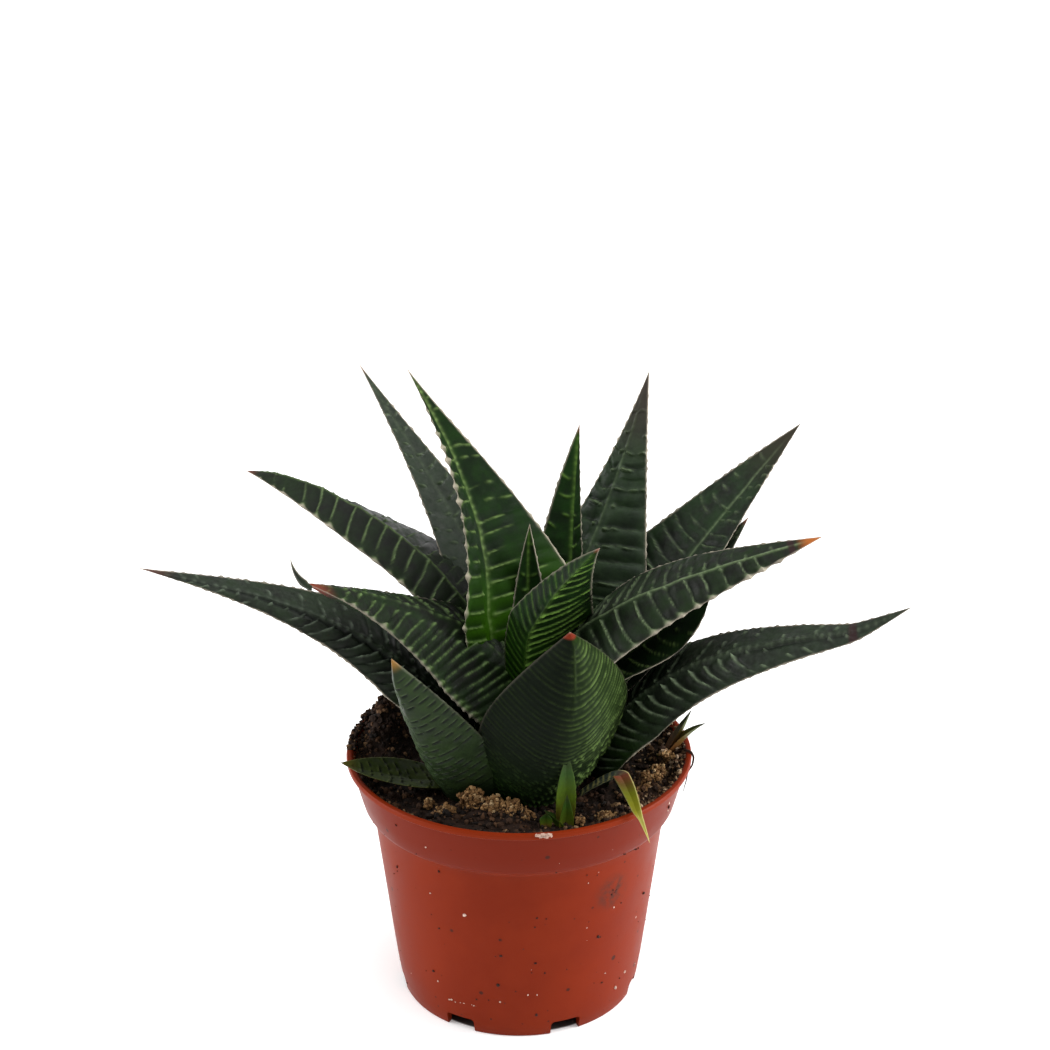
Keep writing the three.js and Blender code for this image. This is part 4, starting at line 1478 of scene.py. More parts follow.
@dataclass
class Rosette:
    """All the leaves that grow from the stem."""

    plant: PlantFrame
    effects: Effects
    leaves: tuple[LeafShape, ...] = (
        LeafShape(
            "leaf_core_back", (3, 3, 84), (110, 110, 110), (77, 88, 100), (0, -5), 39, 5.2, taper=0.2,
            fold=0.3, upper=(SPARSE, SPARSE), finish="bright", columns=(26, 16),
        ),
        LeafShape(
            "leaf_core_front", (5, -3, 82.5), (-47, -49, -49), (84, 65, 45), (-16, -38), 49.5, 10.5, 0.43,
            -0.15, 0.2, belly=0.4, core=1.6, round_back=0.62, back_keel=0.75, columns=(22, 60),
            finish="bright", back=(CLOSE_GREY, CLOSE_BRIGHT), back_spine=Spine(0.35, 0.5, 0.4, 0.7),
            margin=Margin(2.2, 0.2, 0.35),
        ),
        LeafShape(
            "leaf_back_slim", (8, 6, 79), (82, 78, 71), (69, 63, 54), (0, 0), 65, 7.2, 0.28, 0.3, 0.2,
            keel=0.5, crest=0.1, upper=(FEW, SPARSE), back=BACKS, finish="bright", columns=(34, 18),
            margin=Margin(2.2, 0.3, 0.6),
        ),
        LeafShape(
            "leaf_back_left_inner", (-1.5, 5.5, 85), (134, 139, 124), (100, 45, 31), (-6, 3), 82.5, 18, 0.2,
            -0.67, 0.2, keel=-0.5, crest=0.08, sink=9.0, back=BACKS, finish="glowing",
            spine=Spine(0.35, 0.42, 0.75, 0.6), upper=(LOOSE_LADDER, EDGE_LADDER),
            margin=Margin(3.2, 0.3, 0.9),
        ),
        LeafShape(
            "leaf_back_right", (10, 8, 75), (57, 60, 63), (51, 58, 64), (5, 2), 84.5, 14.8, 0.34, -0.3, 0.15,
            keel=-0.3, crest=0.2, upper=(EMBOSSED, EMBOSSED), back=BACKS, finish="embossed",
            spine=Spine(0.2, 0.3, 0.35, 0.5),
        ),
        LeafShape(
            "leaf_right_upper", (12, 4, 76), (30, 30, 31), (45, 42, 37), (8, 9), 90, 15.7, 0.35, 0.05, 0.17,
            keel=0.3, crest=0.15, upper=(SMOOTHER, SMOOTHER), back=BACKS, finish="purple_tipped",
            spine=Spine(0.25, 0.34, 0.5, 0.2),
        ),
        LeafShape(
            "leaf_right", (6.5, -1, 85.5), (-17, -10, 5), (60, 17, 16), (6, 26), 78.5, 16.2, 0.3, -0.1, -0.2,
            keel=0.2, crest=0.15, upper=(NEAR_LADDER, FAR_LADDER), back=BACKS, finish="orange_tipped",
            spine=Spine(0.4, 0.34, 0.8, 0.2), margin=Margin(2.1, 0.3, 0.9),
        ),
        LeafShape(
            "leaf_left_upper", (-1.3, 5.3, 86.5), (151, 156.5, 150.5), (68, 13, -6), (-9, 29), 90, 14.2, 0.53,
            0.8, -0.41, keel=-0.55, crest=0.05, belly=0.12, core=1.0, sink=5.0,
            upper=(FAR_LADDER, STEEP_LADDER), back=BACKS, finish="dark", spine=Spine(0.35, 0.34, 0.7, 0.35),
            margin=Margin(3.0, 0.3, 0.95),
        ),
        LeafShape(
            "leaf_back_left_outer", (1.5, 9.5, 77), (132, 136, 134), (62, 42, 42), (0, 0), 92.5, 12.4, 0.3,
            -0.4, 0.2, crest=0.1, upper=(BUMPY, BUMPY), back=BACKS, finish="frosted_and_sheened",
            margin=Margin(2.6, 0.35, 0.9), spine=Spine(0.2, 0.5, 0.1),
        ),
        LeafShape(
            "leaf_right_short", (11, -3, 78), (-6, 3, 11), (43, 39, 37), (-14, 19), 45.5, 14, 0.55, 1.15, 0.1,
            belly=0.16, core=1.0, columns=(32, 18), back=BACKS, finish="glowing",
        ),
        LeafShape(
            "leaf_left", (1.5, -6, 77), (189, 198, 208), (44, 42, 29), (-42, -2), 69, 14.8, 0.4, 0.1, 0.16,
            keel=0.5, crest=0.3, belly=0.14, core=0.9, upper=(FEW, SLANTED), back=BACKS,
            spine=Spine(0.3, 0.4, 0.5, 0.9, 2.9), margin=Margin(2.0, 0.35, 0.6), finish="red_brown_tipped",
            columns=(80, 16), step=0.26,
        ),
        LeafShape(
            "leaf_right_hidden", (13, 3, 72), (19, 20, 22), (40, 44, 51), (0, 6), 65.5, 11.4, 0.3, 0.4, 0.1,
            columns=(28, 18), step=0.36, back=BACKS, upper=(FEW, FEW),
        ),
        LeafShape(
            "leaf_front", (3, -11, 60.5), (-63, -65, -65), (44, 67, 93), (-7, 1), 55, 18.8, 0.5, 1, 0.23,
            belly=0.4, core=1.6, round_back=0.75, back_keel=0.12, back_soft=0.6, foot=0.85, columns=(20, 92),
            step=0.2, finish="red_tipped", back=(FINE_PAINTED_SHADE, FINE_PAINTED_LIGHT), margin=Margin(1.3, 0.1, 0.1),
            back_spine=Spine(0.25, 0.3, 0.22, 0.4, start=0.85),
        ),
        LeafShape(
            "leaf_right_low", (19, -6, 63), (-18, -22, -11), (77, 7, 15), (27, 19), 95, 13.2, 0.27, 0.1, -0.2,
            keel=0.1, crest=0.12, crease=(0.12, 0.6), bends=((0.84, 5, 14),), foot=0.6,
            upper=(SCALES, SPARSE), back=BACKS, spine=Spine(0.45, 0.7, 0.25, 0.7, 1.9),
            margin=Margin(2.2, 0.35, 0.9), finish="scarred", columns=(74, 16),
        ),
        LeafShape(
            "leaf_left_low", (-10, -3, 67), (185, 190, 185), (69, 16, 14), (-32, -16), 99, 12.5, 0.32, -0.23,
            -0.15, keel=-0.4, crest=0.28, crease=(-0.12, 0.0), upper=(SPARSE, SCALES), back=BACKS,
            spine=Spine(0.4, 0.5, 0.3, 0.9, 2.6), margin=Margin(2.2, 0.4, 0.9), finish="bloomed_and_sheened",
            columns=(60, 16),
        ),
        LeafShape(
            "leaf_left_narrow", (-8, 1, 73), (182, 178, 176), (44, 24, 20), (0, 0), 60, 5, 0.3, -0.2, 0.15,
            belly=0.18, core=0.8, bends=((0.84, 0, 55),), columns=(22, 14), step=0.36, upper=(SPARSE, SPARSE),
            back=BACKS,
        ),
        LeafShape(
            "leaf_back_low", (3, 5.5, 62), (99, 99, 99), (76, 14, 0), (0, 0), 61, 12, 0.32, foot=0.8,
            columns=(30, 20), step=0.36, back=BACKS,
        ),
        LeafShape(
            "leaf_back_right_low", (9, 4, 62), (50, 50, 50), (74, 6, 4), (0, 0), 71, 12.5, 0.32, foot=0.8,
            columns=(30, 20), step=0.36, back=BACKS,
        ),
        LeafShape(
            "leaf_back_left_low", (-1.5, 3.5, 62), (146, 146, 146), (74, 2, 0), (0, 0), 63, 12, 0.32,
            foot=0.8, columns=(30, 20), step=0.36, back=BACKS,
        ),
        LeafShape(
            "leaf_front_left", (-10, -12, 57), (234, 233, 236), (59, 55, 59), (1, 1), 60, 12.8, 0.29, 0.5,
            0.29, belly=0.4, core=1.6, round_back=0.7, back_soft=0.6, foot=0.85, columns=(18, 72), step=0.21,
            finish="dull", back=(DASHED, DASHED), margin=Margin(2.6, 0.15, 0.1),
        ),
        LeafShape(
            "leaf_soil_left", (-14, -12, 61), (196, 194, 191), (13, 17, 24), (11, -11), 31, 7.9, 0.37, 0.7,
            0.18, belly=0.18, core=0.8, sink=1, upper=(STUDDED, STUDDED), spine=NO_SPINE,
            margin=Margin(1.5, 0.08, 0.35), columns=(34, 14), finish="olive",
        ),
    )
    finishes: tuple[LeafFinish, ...] = (
        LeafFinish("leaf"),
        LeafFinish(
            "red_brown_tipped", flesh=(0.008, 0.018, 0.005), ridge=(0.15, 0.24, 0.08),
            tip=(0.14, 0.03, 0.016), tip_from=0.86, tip_to=0.97, glow_from=0.2, bloom_and_sheen_share=0.04, gloss=0.07,
        ),
        LeafFinish(
            "bright", panel=(0.005, 0.01, 0.004), flesh=(0.007, 0.024, 0.004), ridge=(0.15, 0.28, 0.05),
            glow_from=0.6, glow_share=0.5, bloom_and_sheen_share=0.03, gloss=0.03,
        ),
        LeafFinish(
            "glowing", panel=(0.006, 0.012, 0.005), flesh=(0.008, 0.022, 0.005), ridge=(0.17, 0.26, 0.08),
            glow=(0.025, 0.084, 0.001), glow_from=0.42, glow_share=0.95, bloom_and_sheen_share=0.03, gloss=0.02,
        ),
        LeafFinish(
            "purple_tipped", flesh=(0.012, 0.028, 0.009), tip=(0.029, 0.025, 0.017), tip_from=0.74,
            tip_to=0.98, gloss=0.1,
        ),
        LeafFinish(
            "embossed", panel=(0.01, 0.018, 0.009), flesh=(0.018, 0.036, 0.013), tip=(0.035, 0.028, 0.023),
            tip_from=0.68, tip_to=0.97, bloom_and_sheen_share=0.4,
        ),
        LeafFinish(
            "scarred", ridge=(0.19, 0.25, 0.15), glow_share=0.3, tip=(0.03, 0.028, 0.022), bloom_and_sheen_share=0.42,
            scar=0.84,
        ),
        LeafFinish(
            "orange_tipped", flesh=(0.01, 0.022, 0.006), glow_from=0.25, tip=(0.34, 0.1, 0.02), tip_from=0.91,
            tip_to=0.96, bloom_and_sheen_share=0.15, scar=0.9, gloss=0.09,
        ),
        # This leaf's sunlit half is painted lighter with lit: painted light.
        LeafFinish(
            "red_tipped", panel=(0.003, 0.005, 0.0025), flesh=(0.004, 0.007, 0.003),
            ridge=(0.115, 0.18, 0.05), glow_from=0.5, glow_share=0.25, tip=(0.13, 0.018, 0.008),
            tip_from=0.972, tip_to=0.982, bloom_and_sheen_share=0.0, lit=(0.012, 0.027, 0.0035), lit_share=0.85,
            lit_from=0.38, gloss=0.025, roughness=0.5,
        ),
        # Much bloom, with a painted sheen of the top light.
        LeafFinish(
            "bloomed_and_sheened", ridge=(0.19, 0.24, 0.17), glow_share=0.3, tip=(0.07, 0.022, 0.018), tip_from=0.9,
            tip_to=0.98, bloom_and_sheen_share=0.36,
        ),
        LeafFinish(
            "olive", panel=(0.018, 0.028, 0.006), flesh=(0.034, 0.048, 0.009), ridge=(0.16, 0.19, 0.06),
            margin=(0.25, 0.24, 0.08), glow_share=0.0, tip=(0.1, 0.085, 0.015), tip_from=0.82,
            bloom_and_sheen_share=0.1, gloss=0.08,
        ),
        LeafFinish(
            "dark", ridge=(0.17, 0.25, 0.1), glow_from=0.25, tip=(0.1, 0.03, 0.02), tip_from=0.93,
            bloom_and_sheen_share=0.12, gloss=0.08,
        ),
        # Pale bloom, with a painted sheen of the top light.
        LeafFinish(
            "frosted_and_sheened", panel=(0.011, 0.016, 0.01), flesh=(0.016, 0.026, 0.014), bloom_and_sheen=(0.048, 0.056, 0.044),
            bloom_and_sheen_share=0.35, gloss=0.1,
        ),
        LeafFinish(
            "dull", panel=(0.011, 0.019, 0.008), flesh=(0.017, 0.032, 0.009), glow_share=0.0,
            tip=(0.22, 0.11, 0.025), tip_from=0.93, bloom_and_sheen_share=0.22, gloss=0.08,
        ),
    )

    def build(self) -> list[bpy.types.Object]:
        """Makes every leaf and dresses it.

        Returns:
            The leaves.
        """
        skins = {finish.name: finish.material(self.effects) for finish in self.finishes}
        pieces = []
        for number, shape in enumerate(self.leaves):
            piece = shape.build(self.plant, 100 + 7 * number)
            finish_piece(piece, skins[shape.finish], "leaf", shape.name)
            pieces.append(piece)
        return pieces


LeafRow = tuple[str, Triple, Triple, Triple, tuple[float, float], float, float, float, float]
YOUNG = {
    "fold": 0.35, "sink": 0.5, "belly": 0.25, "core": 1.0, "round_back": 0.6, "upper": PLAIN_SIDES,
    "spine": NO_SPINE, "margin": Margin(1.2, 0.04, 0.4, 0.15), "step": 0.4, "columns": (16, 14),
}


@dataclass
class Offsets:
    """Young plants, a spike and a withered leaf beside the rosette."""

    plant: PlantFrame
    effects: Effects
    young: BandedLeafFinish = BandedLeafFinish(
        "young leaf",
        (
            (0.0, (0.08, 0.03, 0.015)), (0.25, (0.12, 0.1, 0.012)), (0.42, (0.075, 0.12, 0.008)),
            (0.75, (0.022, 0.06, 0.006)), (1.0, (0.02, 0.025, 0.008)),
        ),
        margin=(0.12, 0.15, 0.02), margin_share=0.3,
    )
    rusty: BandedLeafFinish = BandedLeafFinish(
        "rusty young leaf",
        (
            (0.0, (0.2, 0.05, 0.02)), (0.45, (0.16, 0.07, 0.02)), (0.75, (0.06, 0.08, 0.015)),
            (1.0, (0.02, 0.04, 0.01)),
        ),
        margin=(0.2, 0.11, 0.05), margin_share=0.5,
    )
    withered: BandedLeafFinish = BandedLeafFinish(
        "withered leaf",
        (
            (0.0, (0.03, 0.045, 0.035)), (0.3, (0.06, 0.08, 0.065)), (0.36, (0.19, 0.05, 0.025)),
            (0.47, (0.1, 0.06, 0.012)), (0.58, (0.115, 0.125, 0.006)), (1.0, (0.2, 0.17, 0.008)),
        ),
        margin=(0.45, 0.42, 0.16), margin_share=0.7,
    )
    front_leaves: tuple[LeafRow, ...] = (
        ("outer", (10.7, -29.6, 57.5), (100, 100, 100), (98, 99, 97), (0, 0), 23.3, 2.4, 0.45, 0.9),
        ("inner", (11, -31.4, 57.5), (100, 100, 100), (98, 98, 98), (0, 0), 12.5, 1.8, 0.35, 0.7),
        ("bract", (11.6, -30.6, 57.5), (200, 195, 180), (70, 45, 40), (0, 0), 9.5, 2, 0.4, 0.6),
        ("sprout", (6.4, -32.6, 60.6), (90, 90, 90), (96, 92, 88), (0, 0), 4, 1.5, 0.7, 0.3),
    )
    right_leaves: tuple[LeafRow, ...] = (
        ("upright", (35.6, 3.6, 57.5), (0, 0, 10), (74, 60, 62), (0, 0), 17, 2.1, 0.35, 0.5),
        ("leaning", (35.7, 2.6, 57.5), (-5, -8, -10), (78, 50, 26), (0, 0), 17.5, 2.2, 0.35, 0.4),
    )
    spike: LeafShape = LeafShape(
        "leaf_left_spike", (-48.5, -23.1, 118.7), (180, 180, 180), (38, 70, 84), (80, 80), 8.6, 1.1, 0.15,
        -0.25, 0.2, sink=0.8, belly=0.3, core=0.4, upper=PLAIN_SIDES, spine=NO_SPINE,
        margin=Margin(1.2, 0.05, 0.6, 0.15), step=0.3, columns=(14, 12),
    )
    spike_finish: LeafFinish = LeafFinish("spike", bloom_and_sheen_share=0.3, glow_share=0.0)
    dry: LeafShape = LeafShape(
        "withered_leaf", (14.4, -17.4, 60.6), (-5, -5, -5), (44, 10, 0), (0, 0), 35.5, 2.1, 0.3, 0.9, 0.2,
        bends=((0.325, -72, -20), (0.787, 42, -46)), sink=0, belly=0.1, core=0.7, spine=NO_SPINE,
        upper=(WITHERED, WITHERED), margin=Margin(2.2, 0.1, 0.9), step=0.3, columns=(20, 14),
    )

    def build(self) -> list[bpy.types.Object]:
        """Makes the small plants, the spike and the withered leaf.

        Returns:
            The pieces.
        """
        young = self.young.material(self.effects)
        rusty = self.rusty.material(self.effects)
        front = self.tuft("young_plant_front", young, self.front_leaves)
        right = self.tuft("young_plant_right", rusty, self.right_leaves)
        spike = self.spike.build(self.plant, 950)
        finish_piece(spike, self.spike_finish.material(self.effects), "leaf")
        dry = self.dry.build(self.plant, 900)
        finish_piece(dry, self.withered.material(self.effects), "withered_leaf", "withered_leaf")
        return [front, right, spike, dry]

    def tuft(self, name: str, skin: bpy.types.Material, rows: Sequence[LeafRow]) -> bpy.types.Object:
        """Joins small leaves into one young plant.

        Args:
            name: The plant's name, which is its node's name too.
            skin: Its material.
            rows: Its leaves, each up to its taper.

        Returns:
            The plant.
        """
        shapes = [LeafShape(*row, **YOUNG) for row in rows]
        leaves = [shape.build(self.plant, 700 + 9 * number) for number, shape in enumerate(shapes)]
        with bpy.context.temp_override(
            active_object=leaves[0], object=leaves[0], selected_editable_objects=leaves,
            selected_objects=leaves
        ):
            bpy.ops.object.join()
        piece = leaves[0]
        piece.name = "grown_" + name
        piece.data.name = piece.name
        finish_piece(piece, skin, "young_leaf", name)
        return piece


# Soil


@dataclass(frozen=True)
class Heap:
    """A heap on the soil: where, how high, how wide and its share of the heaped crumbs."""

    x: float
    y: float
    height: float
    spread: float
    share: float


@dataclass(frozen=True)
class Lump:
    """A crusty lump: its middle, its half sizes and how many grains it is reckoned at."""

    centre: Triple
    spread: Triple
    grains: int


@dataclass(frozen=True)
class Spill:
    """Crumbs that lie against the rim, from one angle and radius to another."""

    start: float
    end: float
    inner: float
    outer: float
    top: float
    crumbs: int


Cloud = tuple[np.ndarray, np.ndarray, np.ndarray]


@dataclass
class Soil:
    """The potting soil with its heaps, crumbs and crusty lumps."""

    plant: PlantFrame
    effects: Effects
    level: float = 60.6
    radius: float = 39.3
    bottom: float = 5.9
    wall: tuple[tuple[float, float], ...] = ((36.8, 50.9), (34.9, 49.8), (29.6, 9.0), (27.6, 6.3))
    rings: int = 90
    around: int = 240
    heaps: tuple[Heap, ...] = (
        Heap(-34, 11, 12, 7.5, 0.4), Heap(-22, 26, 5, 6, 0.1), Heap(-17, -28, 2, 3, 0.08),
        Heap(-8.5, -27.5, 3.2, 4, 0.08), Heap(-1.5, -28.5, 3, 3.8, 0.08), Heap(31.6, -14, 3.6, 3.6, 0.1),
        Heap(35.5, -1, 3.4, 3.4, 0.1), Heap(23, -25, 1.8, 2.8, 0.06),
    )
    lumps: tuple[Lump, ...] = (
        Lump((-10.6, -26.0, 64.2), (3.4, 2.6, 3.2), 400),
        Lump((-5.8, -27.8, 63.4), (3.4, 2.6, 3.0), 390),
        Lump((-1.8, -28.6, 63.0), (3.0, 2.6, 2.8), 330),
        Lump((1.6, -28.5, 61.6), (2.2, 2.6, 1.8), 130),
        Lump((-17.2, -28.0, 62.2), (2.4, 1.8, 2.2), 150),
        Lump((-21.5, -24.0, 62.2), (1.4, 1.2, 1.4), 60),
        Lump((31.6, -14.5, 63.6), (3.0, 2.4, 2.6), 230),
        Lump((36.2, -3.0, 63.6), (2.2, 2.2, 2.2), 150),
        Lump((27.5, -21.0, 61.9), (2.2, 1.4, 1.4), 80),
        Lump((20.5, -28.5, 61.6), (2.6, 1.4, 1.4), 90),
        Lump((14.5, -31.0, 61.6), (1.4, 1.2, 1.2), 50),
        Lump((33.8, -8.5, 62.8), (2.0, 2.4, 1.6), 120),
        Lump((28.0, -16.5, 61.8), (3.0, 2.6, 1.2), 110),
    )
    lump_fill: float = 1.35
    crumbs: int = 4700
    heaped_share: float = 0.34
    spills: tuple[Spill, ...] = (
        Spill(134.0, 181.0, 36.5, 42.2, 67.6, 1300),
        Spill(181.0, 300.0, 38.6, 40.6, 63.4, 420),
        Spill(-60.0, 62.0, 38.4, 41.0, 64.6, 900),
        Spill(62.0, 134.0, 38.6, 40.4, 63.2, 260),
    )
    lip_radius: float = 40.4
    lip_top: float = 64.2
    peat: CrumbFinish = CrumbFinish("potting soil", (
        (0.0, (0.008, 0.006, 0.005)), (0.4, (0.026, 0.014, 0.009)), (0.65, (0.09, 0.045, 0.023)),
        (0.85, (0.2, 0.12, 0.06)), (1.0, (0.46, 0.33, 0.22)),
    ))
    crust: CrumbFinish = CrumbFinish("crusted soil", (
        (0.0, (0.05, 0.024, 0.01)), (0.4, (0.16, 0.082, 0.032)), (0.8, (0.3, 0.17, 0.07)),
        (1.0, (0.46, 0.32, 0.17)),
    ))

    def height(self, x: np.ndarray, y: np.ndarray) -> np.ndarray:
        """The soil's height at each place.

        Args:
            x: Places across.
            y: Places in depth.

        Returns:
            The heights.
        """
        edge = np.clip((self.radius - np.hypot(x, y)) / 3 + 0.1, 0, 1)
        height = np.full_like(x, self.level)
        for heap in self.heaps:
            away = np.hypot(x - heap.x, y - heap.y)
            height += heap.height * hump(away, heap.spread) * np.maximum(edge, 0.5)
        return height + 0.55 * noise_at(x / 2.2, y / 2.2, 0, 5) + 0.35 * noise_at(x / 0.9, y / 0.9, 0, 6)

    def build(self) -> list[bpy.types.Object]:
        """Makes the soil's body, its loose crumbs and its lumps.

        Returns:
            The pieces.
        """
        peat = self.peat.material(self.effects)
        body = self.body()
        finish_piece(body, peat, "soil", "soil")
        loose = crumb_cloud("soil_crumbs", self.plant, self.scattered(), 21)
        finish_piece(loose, peat, "soil")
        lumps = crumb_cloud("crusty_lumps", self.plant, self.crusty(), 22)
        finish_piece(lumps, self.crust.material(self.effects), "soil")
        return [body, loose, lumps]

    def body(self) -> bpy.types.Object:
        """The filling itself, with a fine crumbly top.

        Returns:
            The filling.
        """
        turn = full_turn(self.around)
        rings = []
        for number in range(1, self.rings + 1):
            ring = about_axis(self.radius * number / self.rings, turn, 0.0)
            ring[:, 2] = self.height(ring[:, 0], ring[:, 1])
            rings.append(ring)
        rings += [about_axis(radius, turn, height) for radius, height in self.wall]
        ends = np.array([[0, 0, self.bottom], [0, 0, self.level]])
        last, first = self.plant.metres(ends)
        piece = ringed("soil_body", self.plant.metres(rings), last, first, flip=True)
        points = np.vstack([*rings, ends])
        tone = 0.22 + 0.32 * lattice_noise(points / 0.8, 8) + 0.2 * lattice_noise(points / 3, 9)
        write_tones(piece, np.clip(tone, 0, 0.8))
        return piece

    def scattered(self) -> Cloud:
        """Strews the loose crumbs.

        Returns:
            Their places, sizes and tones.
        """
        draw = np.random.default_rng(11)
        count = self.crumbs
        radius = self.radius * np.sqrt(draw.random(count)) * 0.995
        angle = draw.random(count) * 2 * math.pi
        x, y = radius * np.cos(angle), radius * np.sin(angle)
        heaped = draw.random(count) < self.heaped_share
        chosen = draw.choice(len(self.heaps), count, p=[heap.share for heap in self.heaps])
        heap = np.array([[heap.x, heap.y, heap.spread] for heap in self.heaps])[chosen]
        near = draw.normal(0, 0.62, (count, 2)) * heap[:, 2:]
        x = np.where(heaped, heap[:, 0] + near[:, 0], x)
        y = np.where(heaped, heap[:, 1] + near[:, 1], y)
        inside = np.hypot(x, y) < self.radius
        x, y = x[inside], y[inside]
        size = 0.28 + 0.75 * draw.random(len(x)) ** 2.6
        z = self.height(x, y) + size * 0.35
        places, sizes = [np.stack([x, y, z], -1)], [size]
        for spill in self.spills:
            share = draw.random(spill.crumbs)
            angle = np.radians(spill.start + (spill.end - spill.start) * share)
            radius = spill.inner + (spill.outer - spill.inner) * draw.random(spill.crumbs)
            ends = np.clip(np.minimum(share, 1 - share) * 5, 0, 1) ** 0.7
            low = np.where(radius > self.lip_radius, self.lip_top, self.level + 0.6)
            patchy = 0.75 + 0.4 * noise_at(angle * 9, radius / 3, 0, 13)
            high = low + (spill.top - 0.35 * (radius - spill.inner) - low) * ends * patchy
            z = low + (high - low) * np.sqrt(draw.random(spill.crumbs))
            places.append(about_axis(radius, angle, z))
            sizes.append(0.24 + 0.5 * draw.random(spill.crumbs) ** 2)
        places, size = np.vstack(places), np.concatenate(sizes)
        tone = draw.beta(1.7, 2.4, len(size)) - 0.07 + 0.24 * smooth_step(18, 32, places[:, 0])
        return places, size, np.clip(tone, 0, 1)

    def crusty(self) -> Cloud:
        """Packs the grains of the crusty lumps.

        Returns:
            Their places, sizes and tones.
        """
        draw = np.random.default_rng(12)
        places, sizes = [], []
        for lump in self.lumps:
            count = round(self.lump_fill * lump.grains)
            way = draw.normal(0, 1, (count, 3))
            way /= np.linalg.norm(way, axis=1)[:, None]
            out = draw.random(count)[:, None] ** 0.4
            ragged = 0.82 + 0.5 * lattice_noise(way * 1.7 + np.array(lump.centre), 15)[:, None]
            grains = np.array(lump.centre) + way * out * ragged * np.array(lump.spread)
            grains[:, 2] = np.maximum(grains[:, 2], self.height(grains[:, 0], grains[:, 1]))
            places.append(grains)
            sizes.append(0.26 + 0.38 * draw.random(count) ** 1.3)
        places, sizes = np.vstack(places), np.concatenate(sizes)
        reach = np.hypot(places[:, 0], places[:, 1])
        places[:, :2] *= np.minimum(1, (self.radius + 0.2) / reach)[:, None]
        return places, sizes, np.clip(draw.normal(0.55, 0.25, len(places)), 0, 1)


def crumb_cloud(name: str, plant: PlantFrame, cloud: Cloud, seed: int) -> bpy.types.Object:
    """Many small uneven crumbs in one piece.

    Args:
        name: The piece's name.
        plant: Where the plant stands.
        cloud: The crumbs' middles and radii in millimetres, and their tones from dark to pale.
        seed: Which draw this is.

    Returns:
        The piece.
    """
    places, sizes, tones = cloud
    draw = np.random.default_rng(seed)
    shell = bmesh.new()
    bmesh.ops.create_icosphere(shell, subdivisions=1, radius=1.0)
    corners = np.array([v.co for v in shell.verts])
    faces = np.array([[v.index for v in f.verts] for f in shell.faces])
    shell.free()
    count, size = len(places), len(corners)
    stretch = draw.uniform(0.6, 1.25, (count, 1, 3))
    uneven = draw.uniform(0.72, 1.2, (count, size, 1))
    points = corners[None] * stretch * uneven * sizes[:, None, None]
    turn = draw.random(count) * 2 * math.pi
    cos, sin = np.cos(turn)[:, None], np.sin(turn)[:, None]
    x, y = points[..., 0].copy(), points[..., 1].copy()
    points[..., 0], points[..., 1] = x * cos - y * sin, x * sin + y * cos
    points = (points + places[:, None, :]).reshape(-1, 3)
    every = (faces[None] + (np.arange(count) * size)[:, None, None]).reshape(-1, 3)
    piece = add_mesh(name, plant.metres(points), every, smooth=False)
    write_tones(piece, np.repeat(tones, size))
    return piece


# Pot


@dataclass(frozen=True)
class Mark:
    """A single crumb stuck to the pot: the angle, the height, its size and its tone."""

    turn: float
    height: float
    size: float
    tone: float


@dataclass(frozen=True)
class Streak:
    """A row of crumbs on the pot, from one angle and height to another."""

    start: tuple[float, float]
    end: tuple[float, float]
    crumbs: int
    size: float
    tone: float


